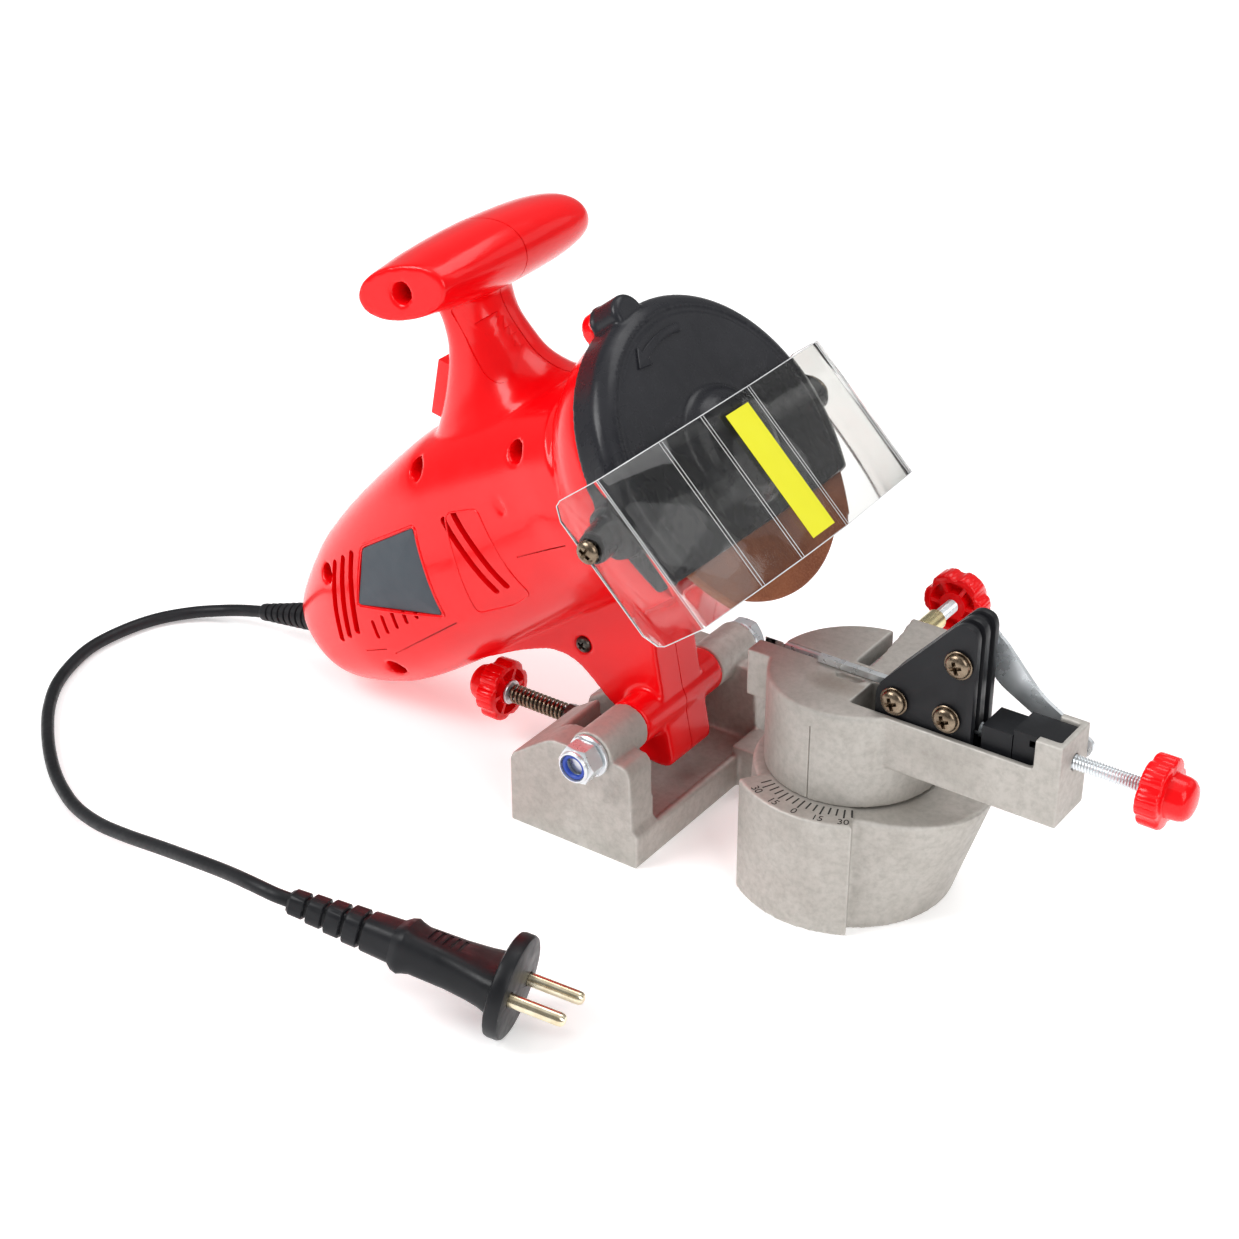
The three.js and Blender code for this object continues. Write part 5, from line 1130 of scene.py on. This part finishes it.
place(table_form(), "vise_table", cast, "turntable", angle=SOFT)
place(dial_numbers(), "dial_numbers", marks, body="base")
place(bevelled(block(56, 94, -0.5, 1.5, 69.7, 78.4), 0.25), "jaw_strip", zinc, "clamp_jaw")
place(join(rod("Y", 1.8, 40, 2.1, CLAMP, 40), thread("Y", 2.5, 68.8, 2.5, 1.0, 0.45, CLAMP)),
      "clamp_thread", zinc, "clamp_rod")
place(tube("Y", 39.9, 50.4, FEED_HOLE, 3.7, CLAMP, edge=0.35), "clamp_collar", yellow_zinc, "clamp_sleeve")

# ---- chain stop
CORNER, WIDTH, HEIGHT = (102, 66), 34.6, 53.5  # x, z and size of the carriage
CARRIAGE = [(0, 0.2), (0, 0.41), (0.78, 0.985), (0.86, 1), (0.96, 0.985), (1, 0.93), (1, 0), (0.09, 0)]
STOPS = [(CORNER[0] + a * WIDTH, CORNER[1] + b * HEIGHT)
         for a, b in ((0.835, 0.735), (0.205, 0.344), (0.75, 0.346))]  # x, z of its three screws
LEVER_AT, PAWL_AT = STOPS[:2]


def carriage_plate(a, b, inset=0.0):
    points = [(CORNER[0] + inset + x * (WIDTH - 2 * inset), CORNER[1] + inset + z * (HEIGHT - 2 * inset))
              for x, z in CARRIAGE]
    return prism(rounded(points, [1.5, 4, 3, 3, 3, 3, 1, 1.5], 5), "Y", a, b)


def lever_form():
    x, z = LEVER_AT
    outline = [(x - 6, z), (x, z + 6), (x + 6, z + 3), (151.5, 92.25), (171.3, 81.2), (169.3, 75.2), (151.5, 83.75),
               (x + 6, z - 13.6)]
    body = join(prism(rounded(outline, [3, 3, 3, 5, 2.5, 2.5, 5, 3]), "Y", -2.1, -0.6),
                rod("Y", -2.1, -0.6, 6, LEVER_AT), rod("Y", -4.9, -1.3, 4, LEVER_AT, 40))
    return bevelled(cut(body, rod("Y", -8, 2, SCREW_HOLE, LEVER_AT, 40)), 0.25)


near_plate = carriage_plate(-19.5, -17)
cut(near_plate, *[rod("Y", -21, -15, SCREW_HOLE, p, 40) for p in STOPS])
place(bevelled(near_plate, 0.6, 3), "stop_plate_near", black, "carriage_near")
far_plate = join(carriage_plate(-16.7, -6.7, 1.3), carriage_plate(-7.7, -5.2), carriage_plate(-14.2, -11.2))
cut(far_plate, *[rod("Y", -21, 0, SCREW_HOLE, p, 40) for p in STOPS], rod("X", 123.7, 140, FEED_HOLE, FEED, 40),
    rod("X", 123.7, 127.3, 3.7, FEED, 40))
place(bevelled(far_plate, 0.5), "stop_plate_far", black, "carriage_far")
for i, ((x, z), shank) in enumerate(zip(STOPS, (18.7, 17.4, 14.6)), 1):
    screw = aim(cross_head(4.3, 2.3, 2.0, shank, 4.9, 0.8), (x, -19.8, z), (0, -1, 0))
    place(screw, f"stop_screw_{i}", bronze, f"carriage_screw_{i}")
pawl = join(block(71.7, PAWL_AT[0], -4.9, -2.4, 79, 81.3), rod("Y", -4.9, -2.4, 4.6, PAWL_AT))
cut(pawl, rod("Y", -8, 0, SCREW_HOLE, PAWL_AT, 40))
place(bevelled(pawl, 0.25), "pawl_finger", zinc, "stop_pawl")
place(lever_form(), "tail_lever", zinc, "stop_lever")
guide = join(block(140, 158.5, -18.6, -5.6, 65.3, 86), block(151, 167, -18.6, -5.6, 86, 88.2))
cut(guide, block(156.5, 169, -20.6, -3.6, 84, 86.3), rod("X", 138, 167, FEED_HOLE, FEED, 40),
    block(150.6, 151, -20, -17.6, 60, 90))
place(bevelled(guide, 0.6, 3), "screw_guide", black, "slide_guide")
adjuster = join(thread("X", 126, 201.4, 2.5, 1.0, 0.45, FEED),
                turned([(3.1, 124), (3.4, 124.3), (3.4, 126.7), (3.1, 127)], "X", FEED, 48))
place(adjuster, "adjust_thread", zinc, "adjust_screw")

# ---- switch
ROCKER_AXIS = 1.4  # its height over the switch's seat
# the rocker's belly is round about its axis, its face a shallow vee; it rests with its upper end out
LIP = rad(27)
BELLY = [LIP - k * (math.pi + 2 * LIP) / 40 for k in range(41)]
plate = join(block(-11, 11, -6.5, 6.5, -6.9, 2.4),
             prism([(-11, 2.2), (11, 2.2), (9.6, 3.6), (-9.6, 3.6)], "Y", -6.5, 6.5))
cut(plate, rod("Y", -3.55, 3.55, 5.0, (0, ROCKER_AXIS), 96))
cut(plate, block(-20, 20, -10, 10, 2.4, 8))
on_head(turned_by(bevelled(plate, 0.5, 3), SWITCH_SEAT), "switch_cover", red, "switch_plate")
rocker = prism([(0, 1.0)] + [(4.7 * math.cos(a), 4.7 * math.sin(a)) for a in BELLY], "Y", -3.25, 3.25)
for side in SIDES:
    for x in (side * (1.6 + k * 0.9) for k in range(3)):
        z = 1.0 + abs(x) * 0.26
        cut(rocker, block(x - 0.15, x + 0.15, -2.3, 2.3, z - 0.25, z + 2))
on_head(turned_by(bevelled(rocker, 0.25), SWITCH_SEAT @ pose((0, 0, ROCKER_AXIS), -10)),
        "switch_button", black, "switch_rocker")

# ---- carried-over CAD nodes
inside = {
    "stator": copper, "rotor": steel, "bearing_rear": steel, "bearing_front": steel, "brush_near": carbon,
    "brush_far": carbon, "wheel_flange_inner": steel, "wheel_flange_outer": steel, "spindle_nut": zinc,
    "return_spring": oxide, "lock_screw": zinc,
}
for node, material in inside.items():
    frame["nodes"][node].data.materials.clear()
    frame["nodes"][node].data.materials.append(material)

# ---- floor, light
REACH, SUNK = 6, -0.0002
floor_mesh = bpy.data.meshes.new("floor")
floor_mesh.from_pydata([(x, y, SUNK) for x, y in box_outline(-REACH, REACH, -REACH, REACH)], [], [(0, 1, 2, 3)])
floor = bpy.data.objects.new("floor", floor_mesh)
scene.collection.objects.link(floor)
paper = Shader("white_paper")
paper.set(Base_Color=paper.ramp(paper.noise(3), (LOW, (0.985, 0.985, 0.985)), (HIGH, (1.0, 1.0, 1.0))),
          Roughness=0.9, Specular_IOR_Level=0.0, Emission_Color=(1, 1, 1), Emission_Strength=0.3)
floor_mesh.materials.append(paper.material)

world = bpy.data.worlds.new("studio")
scene.world = world
world.use_nodes = True
world.node_tree.nodes["Background"].inputs[0].default_value = (1, 1, 1, 1)
world.node_tree.nodes["Background"].inputs[1].default_value = 0.27

# name, place, target, size, watts
LIGHTS = [
    ("key_panel", (-0.9, -1.0, 1.3), (0, 0, 0.05), (0.9, 0.9), 20),
    ("side_panel_light", (1.2, -0.6, 0.9), (0, 0, 0.05), (0.7, 1.0), 8),
    ("top_panel", (0.1, 0.7, 1.5), (0, 0, 0.05), (1.0, 0.8), 7),
    ("ceiling_panel", (0, 0, 2.3), (0, 0, 0), (2.6, 2.6), 12),
    ("sheen_panel", (0.99, 0.77, 1.08), (0.1, 0, 0.15), (0.26, 0.7), 0.7),
    ("back_panel", (0.73, 1.18, 0.80), (0.1, 0, 0.15), (0.7, 0.5), 0.66),
]
for name, location, target, size, power in LIGHTS:
    light = bpy.data.lights.new(name, "AREA")
    light.shape = "RECTANGLE"
    light.size, light.size_y = size
    light.energy = power
    obj = bpy.data.objects.new(name, light)
    obj.location = location
    obj.rotation_euler = (Vector(target) - Vector(location)).to_track_quat("-Z", "Y").to_euler()
    scene.collection.objects.link(obj)

scene.view_settings.view_transform = "Standard"
scene.view_settings.look = "None"
